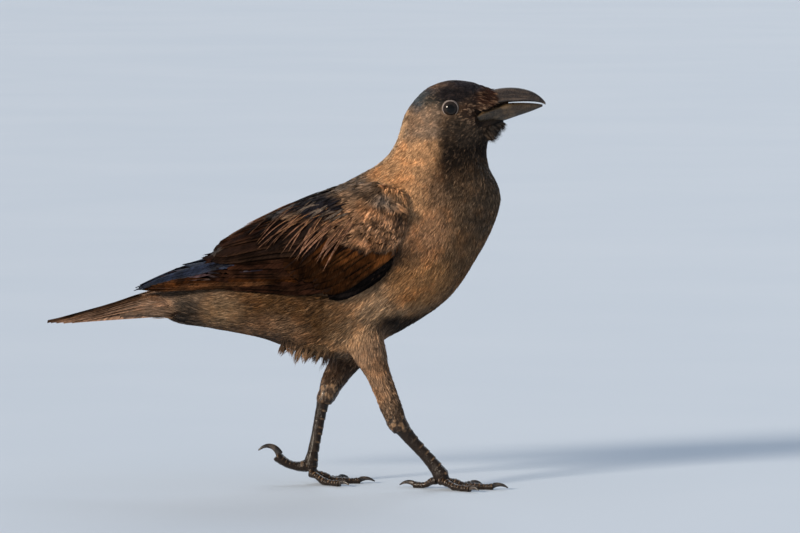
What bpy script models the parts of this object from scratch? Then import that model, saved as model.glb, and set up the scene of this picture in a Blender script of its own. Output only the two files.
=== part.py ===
"""House crow (Corvus splendens), life size, walking, as a still museum model.

Frame: metres, +Z up, +X towards the bill tip, +Y to the bird's left. The origin is the
centre of the bird's bounding box on the floor. Sizes below are in millimetres.

The body is one lofted form, whose sections each run from a point on the back line to a
point on the belly line. It is then parted into trunk, neck and head by thin cuts. Wings,
tail and thighs are lofted round it and trimmed against it.
"""

import math

import bmesh
import bpy
from mathutils import Matrix, Vector

MM = 0.001
GAP = 0.3  # left between neighbouring solids

BILL_TIP_X = 183.2
TAIL_TIP_X = -183.2

# Body sections, tail to bill: part of the bird, back point (x, z), belly point (x, z),
# half width, and lean, which widens the section's upper half (or its lower one if below 0).
BODY_SECTIONS = (
    ("undertail tip", (-103.0, 137.5), (-101.0, 128.5), 5.0, 0.0),
    ("tail coverts", (-92.0, 143.8), (-88.0, 120.6), 14.0, 0.0),
    ("rump", (-76.0, 154.2), (-68.0, 117.2), 25.0, 0.05),
    ("loin", (-55.0, 168.2), (-44.0, 112.5), 35.0, 0.08),
    ("hip", (-32.0, 183.2), (-18.0, 104.3), 42.0, 0.10),
    ("vent", (-9.0, 197.2), (8.0, 94.8), 46.0, 0.10),
    ("flank", (14.0, 210.6), (38.0, 92.8), 48.0, 0.08),
    ("belly", (33.0, 221.6), (66.0, 108.2), 47.5, 0.06),
    ("chest", (47.0, 229.2), (90.0, 121.5), 46.0, 0.04),
    ("breast", (56.0, 234.2), (113.5, 139.0), 43.5, 0.02),
    ("shoulder", (63.0, 239.2), (131.0, 164.0), 40.0, 0.0),
    ("crop", (68.8, 245.0), (144.5, 189.0), 36.0, 0.0),
    ("lower neck", (73.0, 251.6), (150.8, 210.0), 31.5, 0.0),
    ("neck", (75.6, 258.6), (147.2, 224.8), 27.5, 0.0),
    ("upper neck", (77.5, 266.6), (141.9, 234.5), 24.0, 0.02),
    ("throat", (80.5, 274.4), (140.6, 246.0), 21.2, 0.04),
    ("nape", (87.0, 284.2), (144.0, 254.5), 19.6, 0.04),
    ("hind crown", (97.5, 293.5), (148.5, 260.0), 18.6, 0.0),
    ("crown", (112.0, 298.4), (151.5, 262.8), 15.0, -0.05),
    ("brow", (126.0, 297.8), (153.0, 264.4), 12.0, -0.08),
    ("lores", (136.0, 295.2), (154.5, 265.4), 9.8, -0.08),
    ("bill base", (143.0, 291.6), (155.5, 266.6), 8.5, 0.0),
)
BODY_SIDES = 24
BODY_STEPS = 2

# Cutting lines in the side view: a point above the back, and one below the belly.
TAIL_BASE_CUT = ((-79.0, 156.0), (-84.0, 116.0))
NECK_BASE_CUT = ((64.5, 244.0), (138.0, 174.5))
HEAD_BASE_CUT = ((82.5, 279.5), (143.5, 248.5))

EYE_CENTRE = (113.4, 14.4, 278.3)
EYE_RADIUS = 6.6

# Bill sections: x, upper edge z, lower edge z, half width.
UPPER_BILL = (
    (138.0, 289.8, 276.4, 8.4),
    (146.0, 292.0, 279.8, 8.0),
    (154.0, 293.2, 281.9, 7.2),
    (162.0, 293.1, 282.5, 6.2),
    (169.0, 291.8, 282.7, 5.1),
    (175.0, 289.5, 282.5, 3.9),
    (180.0, 285.8, 281.8, 2.2),
    (BILL_TIP_X, 282.0, 280.4, 0.6),
)
LOWER_BILL = (
    (138.0, 276.0, 263.4, 8.0),
    (146.0, 279.3, 265.4, 7.5),
    (154.0, 281.4, 268.6, 6.8),
    (162.0, 281.8, 271.6, 5.8),
    (169.0, 281.7, 274.0, 4.6),
    (175.0, 281.4, 276.3, 3.3),
    (181.0, 280.5, 279.0, 1.2),
)
BILL_SIDES = 12
BILL_BASE_CUT = ((143.2, 291.4), (155.4, 266.8))

# Wing sections, shoulder to tip: x, top edge (y, z), widest point (y, z), bottom edge (y, z).
WING_SECTIONS = (
    (85.0, (36.5, 206.5), (39.5, 202.0), (39.0, 196.5)),
    (81.0, (35.5, 215.0), (43.5, 200.5), (42.0, 181.0)),
    (72.0, (34.5, 222.0), (48.0, 197.5), (45.5, 167.0)),
    (60.0, (33.0, 224.8), (51.0, 193.0), (47.5, 153.5)),
    (45.0, (28.0, 223.0), (53.0, 186.5), (49.0, 144.0)),
    (30.0, (21.0, 218.0), (54.0, 180.5), (50.0, 139.8)),
    (15.0, (13.0, 212.5), (53.6, 174.5), (49.5, 141.0)),
    (0.0, (6.0, 206.6), (52.0, 170.5), (48.0, 144.6)),
    (-15.0, (2.0, 200.0), (49.4, 168.0), (46.0, 147.2)),
    (-30.0, (1.0, 193.2), (46.0, 165.0), (43.5, 148.8)),
    (-45.0, (1.0, 184.8), (41.8, 162.0), (40.0, 148.8)),
    (-55.0, (1.0, 179.4), (38.6, 160.0), (37.5, 148.5)),
    (-60.5, (3.0, 172.6), (36.6, 158.6), (35.8, 148.3)),
    (-68.0, (5.0, 169.8), (34.2, 157.2), (33.6, 148.0)),
    (-80.0, (8.0, 164.6), (30.0, 154.6), (29.6, 147.8)),
    (-95.0, (11.0, 156.8), (25.0, 151.4), (24.8, 147.2)),
    (-108.0, (13.0, 150.5), (20.5, 148.2), (20.4, 145.9)),
    (-121.0, (15.2, 143.8), (16.4, 143.5), (16.4, 143.0)),
)
WING_EDGE_POINTS = 6
WING_THICKNESS = 7.5
COVERTS_CUT = ((-29.0, 205.0), (2.0, 135.0))
PRIMARIES_CUT = ((-70.0, 176.0), (-26.0, 140.0))

# Tail sections: x, height of the middle feathers, drop to the outer ones, half width, thickness.
TAIL_SECTIONS = (
    (-72.0, 150.0, 21.0, 15.0, 4.5),
    (-90.0, 147.4, 19.5, 18.0, 4.0),
    (-107.0, 143.6, 15.5, 21.0, 3.2),
    (-119.0, 140.0, 12.0, 23.0, 2.7),
    (-131.0, 135.0, 8.4, 24.4, 2.4),
    (-143.0, 131.0, 5.6, 25.0, 2.1),
    (-158.0, 126.2, 2.6, 24.5, 1.7),
    (-169.0, 123.2, 1.2, 21.0, 1.4),
    (-178.0, 121.9, 0.5, 13.5, 1.1),
    (TAIL_TIP_X, 121.4, 0.2, 5.0, 0.9),
)
TAIL_ACROSS = 9

# Thigh sections, hip to ankle: centre, half depth fore and aft, half width.
RIGHT_THIGH = (
    ((46.0, -21.0, 122.0), 15.0, 12.0),
    ((53.5, -23.5, 102.0), 13.5, 12.0),
    ((59.3, -24.0, 88.0), 9.4, 9.4),
    ((65.0, -24.0, 74.0), 7.9, 7.8),
    ((69.5, -24.0, 61.5), 7.8, 6.8),
    ((74.0, -24.0, 50.8), 7.0, 6.0),
    ((77.6, -24.0, 43.8), 5.6, 5.0),
)
LEFT_THIGH = (
    ((50.0, 18.0, 119.0), 15.0, 12.0),
    ((41.5, 19.5, 99.0), 13.5, 12.0),
    ((32.2, 18.6, 84.0), 10.0, 9.4),
    ((27.8, 17.8, 77.0), 8.7, 8.0),
    ((24.8, 17.2, 70.5), 7.3, 6.8),
    ((22.2, 16.8, 64.6), 5.8, 5.4),
    ((20.4, 16.5, 60.4), 4.6, 4.6),
)

# Shank sections, ankle to toes, in the same form. The last two are the knuckle.
RIGHT_SHANK = (
    ((76.4, -24.0, 45.4), 4.6, 4.0),
    ((85.3, -24.0, 35.6), 4.5, 3.2),
    ((94.4, -24.2, 25.8), 4.2, 2.9),
    ((102.0, -24.4, 16.8), 4.7, 3.6),
    ((106.4, -24.5, 10.6), 5.4, 5.0),
    ((109.0, -24.5, 6.0), 4.2, 4.4),
)
LEFT_SHANK = (
    ((21.0, 16.6, 63.0), 3.9, 3.8),
    ((18.2, 16.2, 52.5), 4.0, 3.2),
    ((15.6, 15.4, 38.5), 3.7, 2.9),
    ((12.6, 14.5, 24.0), 3.9, 3.4),
    ((10.8, 13.8, 15.0), 5.0, 5.0),
    ((10.8, 13.5, 9.4), 4.0, 4.4),
)
LIMB_SIDES = 10

TOE_RADIUS = 2.75
TOE_FLAT = 0.3  # how much of each pad's underside the floor cuts away
TOE_SIDES = 8
TOE_STEPS = 3
PAD_SWELL = 0.13
CLAW_SIDES = 5


def clear_scene():
    for old in list(bpy.data.objects):
        bpy.data.objects.remove(old)


def material(name, colour, roughness):
    """A Principled material with the part's own colour."""
    made = bpy.data.materials.new(name)
    made.use_nodes = True
    shader = made.node_tree.nodes["Principled BSDF"]
    shader.inputs["Base Color"].default_value = (*colour, 1.0)
    shader.inputs["Roughness"].default_value = roughness
    return made


def add_object(name, mesh, finish):
    """Links a mesh as a smooth-shaded object with its material."""
    mesh.shade_smooth()
    mesh.set_sharp_from_angle(angle=math.radians(50))
    mesh.materials.clear()
    mesh.materials.append(finish)
    made = bpy.data.objects.new(name, mesh)
    bpy.context.scene.collection.objects.link(made)
    return made


def flatten(row):
    """The numbers of a nested tuple, in order."""
    if isinstance(row, (int, float)):
        return [float(row)]
    return [number for part in row for number in flatten(part)]


def between(stations, steps):
    """Rows of numbers along a Catmull-Rom curve through the stations, steps rows to each span."""
    rows = [flatten(station) for station in stations]
    last = len(rows) - 1
    found = []
    for i in range(last):
        before, start, end, after = rows[max(i - 1, 0)], rows[i], rows[i + 1], rows[min(i + 2, last)]
        for k in range(steps):
            t = k / steps
            found.append([
                0.5 * (2 * b + (c - a) * t + (2 * a - 5 * b + 4 * c - d) * t * t
                       + (3 * b - a - 3 * c + d) * t ** 3)
                for a, b, c, d in zip(before, start, end, after)
            ])
    return [*found, rows[-1]]


def loft(rings):
    """A closed mesh through rings of equally many points, in millimetres, with flat ends."""
    bm = bmesh.new()
    loops = [[bm.verts.new(Vector(point) * MM) for point in ring] for ring in rings]
    for near, far in zip(loops, loops[1:]):
        for i, corner in enumerate(near):
            after = (i + 1) % len(near)
            bm.faces.new((corner, near[after], far[after], far[i]))
    bm.faces.new(loops[0][::-1])
    bm.faces.new(loops[-1])
    bmesh.ops.remove_doubles(bm, verts=bm.verts, dist=0.02 * MM)
    bmesh.ops.triangulate(bm, faces=[f for f in bm.faces if len(f.verts) > 4])
    bmesh.ops.recalc_face_normals(bm, faces=bm.faces)
    mesh = bpy.data.meshes.new("loft")
    bm.to_mesh(mesh)
    bm.free()
    return mesh


def combined(mesh, other, operation):
    """The Boolean of two closed meshes, as a new mesh."""
    base = bpy.data.objects.new("base", mesh)
    tool = bpy.data.objects.new("tool", other)
    for helper in (base, tool):
        bpy.context.scene.collection.objects.link(helper)
    cut = base.modifiers.new("combine", "BOOLEAN")
    cut.operation, cut.object, cut.solver = operation, tool, "EXACT"
    bpy.context.view_layer.update()
    graph = bpy.context.evaluated_depsgraph_get()
    made = bpy.data.meshes.new_from_object(base.evaluated_get(graph))
    for helper in (base, tool):
        bpy.data.objects.remove(helper)
    return made


def less(mesh, *cutters):
    """The mesh with each cutter taken away."""
    for cutter in cutters:
        mesh = combined(mesh, cutter, "DIFFERENCE")
    return mesh


def kept_side(mesh, line, ahead):
    """The part of a closed mesh on one side of a plane across the bird, half a gap clear of it.

    The plane stands on a line in the side view, from a point above to a point below.
    """
    above, below = Vector((line[0][0], 0, line[0][1])), Vector((line[1][0], 0, line[1][1]))
    forward = (below - above).cross(Vector((0, 1, 0))).normalized()
    forward = forward if forward.x + forward.z > 0 else -forward
    outward = -forward if ahead else forward
    return trimmed(mesh, (above - outward * GAP / 2) * MM, outward)


def trimmed(mesh, point, outward):
    """The part of a closed mesh behind a plane, with the cut filled."""
    bm = bmesh.new()
    bm.from_mesh(mesh)
    geometry = bm.verts[:] + bm.edges[:] + bm.faces[:]
    bmesh.ops.bisect_plane(
        bm, geom=geometry, dist=1e-7, plane_co=point, plane_no=outward, clear_outer=True
    )
    bmesh.ops.holes_fill(bm, edges=[e for e in bm.edges if e.is_boundary])
    bmesh.ops.triangulate(bm, faces=[f for f in bm.faces if len(f.verts) > 4])
    bmesh.ops.recalc_face_normals(bm, faces=bm.faces)
    made = bpy.data.meshes.new("trimmed")
    bm.to_mesh(made)
    bm.free()
    return made


def body_form(grow=0.0):
    """The whole of trunk, neck and head, grown outwards by some millimetres."""
    rings = []
    for back_x, back_z, belly_x, belly_z, half_width, lean in between(
        [section[1:] for section in BODY_SECTIONS], BODY_STEPS
    ):
        back, belly = Vector((back_x, 0, back_z)), Vector((belly_x, 0, belly_z))
        middle, reach = (back + belly) / 2, (back - belly) / 2
        reach += reach.normalized() * grow
        ring = []
        for i in range(BODY_SIDES):
            turn = 2 * math.pi * i / BODY_SIDES
            width = (half_width + grow) * (1 + lean * math.cos(turn))
            ring.append(middle + reach * math.cos(turn) + Vector((0, width * math.sin(turn), 0)))
        rings.append(ring)
    return loft(rings)


def ball(centre, radius, segments=14, rings=9):
    bm = bmesh.new()
    bmesh.ops.create_uvsphere(
        bm,
        u_segments=segments,
        v_segments=rings,
        radius=radius * MM,
        matrix=Matrix.Translation(Vector(centre) * MM) @ Matrix.Rotation(math.pi / 2, 4, "X"),
    )
    mesh = bpy.data.meshes.new("ball")
    bm.to_mesh(mesh)
    bm.free()
    return mesh


def jaw_form(sections, ridge_up, grow=0.0):
    """Half a bill: flat along the mouth, and rounded to a ridge on the other side."""
    rings = []
    for x, upper_z, lower_z, half_width in between(sections, BODY_STEPS):
        mouth_z, ridge_z = (lower_z, upper_z) if ridge_up else (upper_z, lower_z)
        rise = ridge_z - mouth_z
        ring = []
        for i in range(BILL_SIDES):
            turn = 2 * math.pi * i / BILL_SIDES
            across = math.sin(turn)
            height = math.cos(turn)
            lift = (0.2 + 0.8 * height) if height > 0 else 0.2 * (1 + height)
            flare = 1.0 if height <= 0 else 1 - 0.22 * height
            ring.append((x, (half_width + grow) * flare * across, mouth_z + rise * lift))
        rings.append(ring)
    return loft(rings)


def wing_ring(x, top, widest, bottom, thickness):
    """One upright section of the left wing's shell, round its outer side and back inside."""
    def curve(top_y, top_z, mid_y, mid_z, low_y, low_z):
        points = []
        for i in range(WING_EDGE_POINTS):
            turn = math.pi / 2 * i / (WING_EDGE_POINTS - 1)
            points.append((x, top_y + (mid_y - top_y) * math.sin(turn),
                           mid_z + (top_z - mid_z) * math.cos(turn)))
        for i in range(1, WING_EDGE_POINTS):
            turn = math.pi / 2 * i / (WING_EDGE_POINTS - 1)
            points.append((x, low_y + (mid_y - low_y) * math.cos(turn),
                           mid_z - (mid_z - low_z) * math.sin(turn)))
        return points

    height = top[1] - bottom[1]
    wall = min(thickness, 0.3 * height)
    edge = min(0.35 * wall, 0.2 * height)
    outer = curve(*top, *widest, *bottom)
    inner = curve(top[0], top[1] - edge, widest[0] - wall, widest[1],
                  bottom[0] - wall, bottom[1] + edge)
    return outer + inner[::-1]


def wing_form():
    """The folded left wing as a shell that still reaches into the trunk."""
    rings = []
    for x, top_y, top_z, mid_y, mid_z, low_y, low_z in between(WING_SECTIONS, 1):
        rings.append(wing_ring(x, (top_y, top_z), (mid_y, mid_z), (low_y, low_z), WING_THICKNESS))
    return loft(rings)


def tail_form(grow=0.0):
    """The closed tail: a plate arched over its middle feathers."""
    rings = []
    for x, middle_z, drop, half_width, thickness in between(TAIL_SECTIONS, 1):
        upper, lower = [], []
        for i in range(TAIL_ACROSS):
            share = 2 * i / (TAIL_ACROSS - 1) - 1
            y = share * (half_width + grow)
            z = middle_z - drop * abs(share) ** 1.7
            upper.append((x, y, z + grow))
            lower.append((x, y, z - thickness - grow))
        rings.append(upper + lower[::-1])
    return loft(rings)


def limb_form(sections, steps=2, sides=LIMB_SIDES, grow=0.0):
    """A leg part lofted through level-headed sections that follow its own line."""
    rows = between(sections, steps)
    centres = [Vector(row[:3]) for row in rows]
    rings = []
    for i, (_, _, _, depth, width) in enumerate(rows):
        along = (centres[min(i + 1, len(rows) - 1)] - centres[max(i - 1, 0)]).normalized()
        side = Vector((0, 1, 0))
        side = (side - along * side.dot(along)).normalized()
        front = side.cross(along)
        rings.append([
            centres[i]
            + front * (depth + grow) * math.cos(2 * math.pi * k / sides)
            + side * (width + grow) * math.sin(2 * math.pi * k / sides)
            for k in range(sides)
        ])
    return loft(rings)


def toe_stations(path, radius, joints):
    """Toe sections along a path, swelling at each joint's pad and tapering a little."""
    rows = between(path, TOE_STEPS)
    stations = []
    for i, centre in enumerate(rows):
        share = i / (len(rows) - 1)
        swell = 1 - 0.16 * share + PAD_SWELL * math.cos(2 * math.pi * joints * share)
        stations.append((centre, radius * swell * 0.94, radius * swell))
    return stations


def ground_toe(start, heading, length, joints, radius=TOE_RADIUS):
    """The path and sections of a toe that comes down from the knuckle and lies on the floor."""
    ahead = Vector((math.cos(math.radians(heading)), math.sin(math.radians(heading)), 0))
    start = Vector(start)
    level = radius * 0.84 - TOE_FLAT
    knots = []
    for share, rest in ((0.0, start.z), (0.22, (start.z + level) / 2 + 1.2), (0.45, level + 0.8),
                        (0.75, level), (1.0, level)):
        point = start + ahead * length * share
        knots.append((point.x, point.y, rest))
    return toe_stations(knots, radius, joints), ahead


def claw_form(base, ahead, lift, length, radius, curl):
    """A tapering hook: it leaves base along ahead, raised by lift degrees, and curls down."""
    point = Vector(base)
    steps = 6
    rings = []
    side = ahead.cross(Vector((0, 0, 1))).normalized()
    for i in range(steps):
        share = i / (steps - 1)
        angle = math.radians(lift - curl * share)
        along = ahead * math.cos(angle) + Vector((0, 0, math.sin(angle)))
        front = side.cross(along)
        size = radius * (1 - 0.9 * share ** 1.2)
        rings.append([
            point
            + front * size * 1.15 * math.cos(2 * math.pi * k / CLAW_SIDES)
            + side * size * 0.8 * math.sin(2 * math.pi * k / CLAW_SIDES)
            for k in range(CLAW_SIDES)
        ])
        point = point + along * length / (steps - 1)
    return loft(rings)


def on_floor(mesh):
    """The mesh with all below the floor cut away, which leaves a small flat."""
    return trimmed(mesh, Vector((0, 0, 0)), Vector((0, 0, -1)))


def build_body(feathers):
    form = body_form()
    trunk = kept_side(kept_side(form, TAIL_BASE_CUT, ahead=True), NECK_BASE_CUT, ahead=False)
    neck = kept_side(kept_side(form, NECK_BASE_CUT, ahead=True), HEAD_BASE_CUT, ahead=False)
    head = kept_side(form, HEAD_BASE_CUT, ahead=True)
    for side in (1, -1):
        x, y, z = EYE_CENTRE
        head = less(head, ball((x, side * y, z), EYE_RADIUS + GAP))
    add_object("trunk", trunk, feathers)
    add_object("neck", neck, feathers)
    add_object("head", head, feathers)


def build_eyes(eye_finish):
    x, y, z = EYE_CENTRE
    add_object("eye_left", ball((x, y, z), EYE_RADIUS), eye_finish)
    add_object("eye_right", ball((x, -y, z), EYE_RADIUS), eye_finish)


def build_bill(horn):
    for name, sections, ridge_up in (("bill_upper", UPPER_BILL, True), ("bill_lower", LOWER_BILL, False)):
        jaw = kept_side(jaw_form(sections, ridge_up), BILL_BASE_CUT, ahead=True)
        add_object(name, jaw, horn)


def mirrored(mesh):
    """The same shape on the other side of the bird."""
    made = mesh.copy()
    made.transform(Matrix.Scale(-1, 4, Vector((0, 1, 0))))
    made.flip_normals()
    return made


def build_wings_and_tail(flight):
    tail = combined(tail_form(), body_form(), "UNION")
    add_object("tail", kept_side(tail, TAIL_BASE_CUT, ahead=False), flight)
    left = less(wing_form(), body_form(GAP), tail_form(GAP))
    parts = {
        "coverts": kept_side(left, COVERTS_CUT, ahead=True),
        "secondaries": kept_side(kept_side(left, COVERTS_CUT, ahead=False), PRIMARIES_CUT, ahead=True),
        "primaries": kept_side(left, PRIMARIES_CUT, ahead=False),
    }
    for group, mesh in parts.items():
        add_object(f"wing_left_{group}", mesh, flight)
        add_object(f"wing_right_{group}", mirrored(mesh), flight)


def build_leg(side, thigh, shank, toes, feathers, scales, horn):
    """One leg: its feathered thigh, its scaled shank with the knuckle, and its toes and claws."""
    add_object(f"thigh_{side}", less(limb_form(thigh), body_form(GAP)), feathers)
    add_object(f"shank_{side}", less(limb_form(shank), limb_form(thigh, grow=GAP)), scales)
    knuckle = limb_form(shank, grow=GAP)
    middle = limb_form(toes["middle"][0], 1, TOE_SIDES, grow=GAP)
    for toe, (stations, claw) in toes.items():
        mesh = limb_form(stations, 1, TOE_SIDES)
        if toe in ("inner", "outer"):
            mesh = less(mesh, middle)
        mesh = less(mesh, knuckle)
        add_object(f"toe_{side}_{toe}", on_floor(mesh), scales)
        claw = less(claw, limb_form(stations, 1, TOE_SIDES, grow=GAP))
        add_object(f"claw_{side}_{toe}", on_floor(claw), horn)


def front_toe(start, heading, length, joints, claw_length):
    stations, ahead = ground_toe(start, heading, length, joints)
    end = Vector(stations[-1][0]) - ahead * 0.6
    claw = claw_form((end.x, end.y, end.z + 0.5), ahead, 22, claw_length, 1.7, 66)
    return stations, claw


def standing_toes():
    """The right foot, flat on the floor and turned out a little."""
    knuckle_x, knuckle_y = 107.0, -24.5
    return {
        "middle": front_toe((knuckle_x, knuckle_y, 6.4), -7, 38.0, 3, 12.0),
        "inner": front_toe((knuckle_x - 1, knuckle_y + 2.4, 5.8), 28, 26.0, 2, 10.0),
        "outer": front_toe((knuckle_x - 1, knuckle_y - 2.4, 5.8), -40, 28.0, 4, 9.5),
        "hind": front_toe((knuckle_x - 3.5, knuckle_y + 1.0, 6.2), 150, 19.0, 1, 13.5),
    }


def pushing_toes():
    """The left foot: front toes still on the floor, and the hind toe lifted behind."""
    knuckle_x, knuckle_y = 10.8, 13.5
    path = ((knuckle_x - 3.2, knuckle_y, 13.2), (knuckle_x - 9.5, knuckle_y, 12.9),
            (knuckle_x - 17.5, knuckle_y - 0.3, 15.2), (knuckle_x - 25.0, knuckle_y - 0.5, 20.6))
    lifted = toe_stations(path, TOE_RADIUS * 1.46, 1)
    back = Vector((-1, 0, 0))
    claw = claw_form((knuckle_x - 23.2, knuckle_y - 0.5, 22.0), back, 62, 19.0, 2.5, 128)
    return {
        "middle": front_toe((knuckle_x + 0.5, knuckle_y, 8.8), 4, 36.0, 3, 12.0),
        "inner": front_toe((knuckle_x, knuckle_y - 2.4, 8.0), -38, 27.0, 2, 10.0),
        "outer": front_toe((knuckle_x, knuckle_y + 2.4, 8.0), 38, 27.0, 4, 9.5),
        "hind": (lifted, claw),
    }


def main():
    clear_scene()
    feathers = material("contour_feathers", (0.16, 0.11, 0.08), 0.8)
    flight = material("flight_feathers", (0.07, 0.045, 0.035), 0.6)
    horn = material("horn", (0.03, 0.028, 0.027), 0.4)
    scales = material("leg_scales", (0.035, 0.03, 0.027), 0.45)
    eye_finish = material("eye", (0.015, 0.012, 0.01), 0.05)
    build_body(feathers)
    build_eyes(eye_finish)
    build_bill(horn)
    build_wings_and_tail(flight)
    build_leg("right", RIGHT_THIGH, RIGHT_SHANK, standing_toes(), feathers, scales, horn)
    build_leg("left", LEFT_THIGH, LEFT_SHANK, pushing_toes(), feathers, scales, horn)


main()
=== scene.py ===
"""House crow, life size, walking: the looks of a still museum model.

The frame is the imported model: metres, +Z up, +X towards the bill tip and +Y to the bird's
left. One skin lies inside the flesh. Over it lie a coat of small feathers, laid along a
field of guides, and the large feathers of wings and tail, laid row by row. Sizes are in
millimetres unless a name says otherwise.
"""

import logging
import math
from dataclasses import dataclass, field
from enum import Enum

import bmesh
import bpy
import numpy as np
from bmesh.types import BMesh, BMFace, BMVert
from bpy.types import Material, Node, NodeSocket, NodeTree, Object
from mathutils import Matrix, Vector, noise
from mathutils.bvhtree import BVHTree
from mathutils.kdtree import KDTree
from numpy.random import Generator


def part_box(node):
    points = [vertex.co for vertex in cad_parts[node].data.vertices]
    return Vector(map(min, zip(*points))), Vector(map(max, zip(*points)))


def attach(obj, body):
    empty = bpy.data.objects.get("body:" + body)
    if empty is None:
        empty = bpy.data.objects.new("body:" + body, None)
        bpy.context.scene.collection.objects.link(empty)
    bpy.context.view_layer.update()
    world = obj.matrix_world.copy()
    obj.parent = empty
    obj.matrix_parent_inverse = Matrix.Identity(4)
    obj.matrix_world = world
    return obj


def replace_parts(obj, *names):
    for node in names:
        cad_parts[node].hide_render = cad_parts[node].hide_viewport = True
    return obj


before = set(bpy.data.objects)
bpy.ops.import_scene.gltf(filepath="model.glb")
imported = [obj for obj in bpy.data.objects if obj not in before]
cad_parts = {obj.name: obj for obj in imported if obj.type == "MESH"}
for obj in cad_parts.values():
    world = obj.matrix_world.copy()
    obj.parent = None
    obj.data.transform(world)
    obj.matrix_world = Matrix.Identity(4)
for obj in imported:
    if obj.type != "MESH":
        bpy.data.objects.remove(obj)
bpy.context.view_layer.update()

MM = 0.001
LOG = logging.getLogger("crow")
BAKE_MAP = "OFBake"
PATCH = 0.003  # side of one tuft's place in the bake map
PIECE_TRIANGLES = 190_000  # the most that one piece of the coat holds
WELD = 0.01 * MM  # corners of a node's triangles nearer than this are one
CUT_SLACK = 1e-7

Array = np.ndarray
Triple = tuple[float, float, float]
Pair = tuple[float, float]
Finishes = tuple[Material, Material]


class Side(Enum):
    """The two sides of the bird, each with the sign of its Y."""

    LEFT = 1
    RIGHT = -1

    @property
    def label(self) -> str:
        """The side's name as the nodes write it."""
        return self.name.lower()


FLESH = ("trunk", "neck", "head", "thigh_left", "thigh_right")
WING_PARTS = ("coverts", "secondaries", "primaries")
WING_FLESH = tuple(f"wing_{side.label}_{part}" for side in Side for part in WING_PARTS[:2])
EYES = ("eye_left", "eye_right")
BILLS = ("bill_upper", "bill_lower")
SHANKS = ("shank_left", "shank_right")

# Outlines in the side view, as x and z.
HORN_SIDE = (
    (132.3, 276.8), (138, 280.2), (142, 283), (142.5, 294), (190, 300), (190, 270.3),
    (153, 269.2), (148.2, 268.2), (144.5, 267), (139.7, 265.6), (135, 265.6),
)
SHOULDER = (
    (-26, 200), (16, 218), (46, 230), (66, 230), (82, 216), (88, 203), (84, 188),
    (78, 178), (60, 178), (42, 182), (28, 190), (14, 199), (-8, 200),
)


# ---- helpers for arrays


def unit(vectors: Array) -> Array:
    """The vectors at length one."""
    return vectors / np.maximum(np.linalg.norm(vectors, axis=-1, keepdims=True), 1e-12)


def smoothstep(low: float, high: float, value: Array) -> Array:
    """A smooth rise from 0 at low to 1 at high."""
    share = np.clip((value - low) / (high - low), 0, 1)
    return share * share * (3 - 2 * share)


def depth_inside(points: Array, outline: tuple[Pair, ...]) -> Array:
    """How far points lie inside an outline.

    Args:
        points: Rows of x and z in the side view.
        outline: The outline's corners.

    Returns:
        The distance to the outline for each point, negative outside it.
    """
    starts = np.array(outline)
    runs = np.roll(starts, -1, axis=0) - starts
    local = points[:, None] - starts[None]
    share = np.clip((local * runs).sum(2) / (runs**2).sum(1), 0, 1)
    away = np.linalg.norm(local - share[:, :, None] * runs, axis=2).min(1)
    spans = (local[:, :, 1] < 0) != (local[:, :, 1] < runs[:, 1])
    steep = np.where(runs[:, 1] == 0, 1e-9, runs[:, 1])
    crossed = spans & (local[:, :, 0] < local[:, :, 1] * runs[:, 0] / steep)
    return np.where(crossed.sum(1) % 2 == 1, away, -away)


def along_spines(knots: Array, spine: Array, share: Array) -> Array:
    """Reads points or normals between the knots of many spines.

    Args:
        knots: Spines by knots by three numbers.
        spine: The spine that each reading is on.
        share: How far along its spine each reading is, from 0 to 1.

    Returns:
        One row of three numbers for each reading.
    """
    last = knots.shape[1] - 1
    place = np.clip(share, 0, 1) * last
    below = np.minimum(place.astype(int), last - 1)
    part = (place - below)[:, None]
    return knots[spine, below] * (1 - part) + knots[spine, below + 1] * part


def evened(lines: Array, rounds: int) -> Array:
    """Smooths the inner points of many lines a few times, in place."""
    for _ in range(rounds):
        lines[:, 1:-1] = (lines[:, :-2] + 2 * lines[:, 1:-1] + lines[:, 2:]) / 4
    return lines


# ---- helpers for meshes


def merged(name: str) -> BMesh:
    """Copies a CAD node's mesh and joins its loose triangles.

    Args:
        name: The node.

    Returns:
        The copy.
    """
    bm = bmesh.new()
    bm.from_mesh(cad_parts[name].data)
    bmesh.ops.remove_doubles(bm, verts=bm.verts, dist=WELD)
    bm.normal_update()
    return bm


def joined(names: tuple[str, ...], swell: float = 0.0) -> tuple[BMesh, list[str]]:
    """Puts several CAD nodes into one bmesh.

    Args:
        names: The nodes.
        swell: How far each one grows first.

    Returns:
        The bmesh, and the name of the node that each of its faces comes from.
    """
    whole = bmesh.new()
    labels = []
    for name in names:
        part = merged(name)
        labels += [name] * len(part.faces)
        for vert in part.verts:
            vert.co += vert.normal * swell * MM
        mesh = bpy.data.meshes.new("part")
        part.to_mesh(mesh)
        part.free()
        whole.from_mesh(mesh)
        bpy.data.meshes.remove(mesh)
    return whole, labels


def to_object(name: str, bm: BMesh) -> Object:
    """Puts a bmesh into a new linked object.

    Args:
        name: The object's name.
        bm: Its mesh, which is freed.

    Returns:
        The object.
    """
    mesh = bpy.data.meshes.new(name)
    bm.to_mesh(mesh)
    bm.free()
    mesh.shade_smooth()
    made = bpy.data.objects.new(name, mesh)
    bpy.context.scene.collection.objects.link(made)
    return made


def evaluated(obj: Object) -> BMesh:
    """Applies an object's modifiers.

    Args:
        obj: The object, which is removed.

    Returns:
        Its finished mesh.
    """
    bpy.context.view_layer.update()
    graph = bpy.context.evaluated_depsgraph_get()
    bm = bmesh.new()
    bm.from_mesh(bpy.data.meshes.new_from_object(obj.evaluated_get(graph)))
    bpy.data.objects.remove(obj)
    return bm


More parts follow.
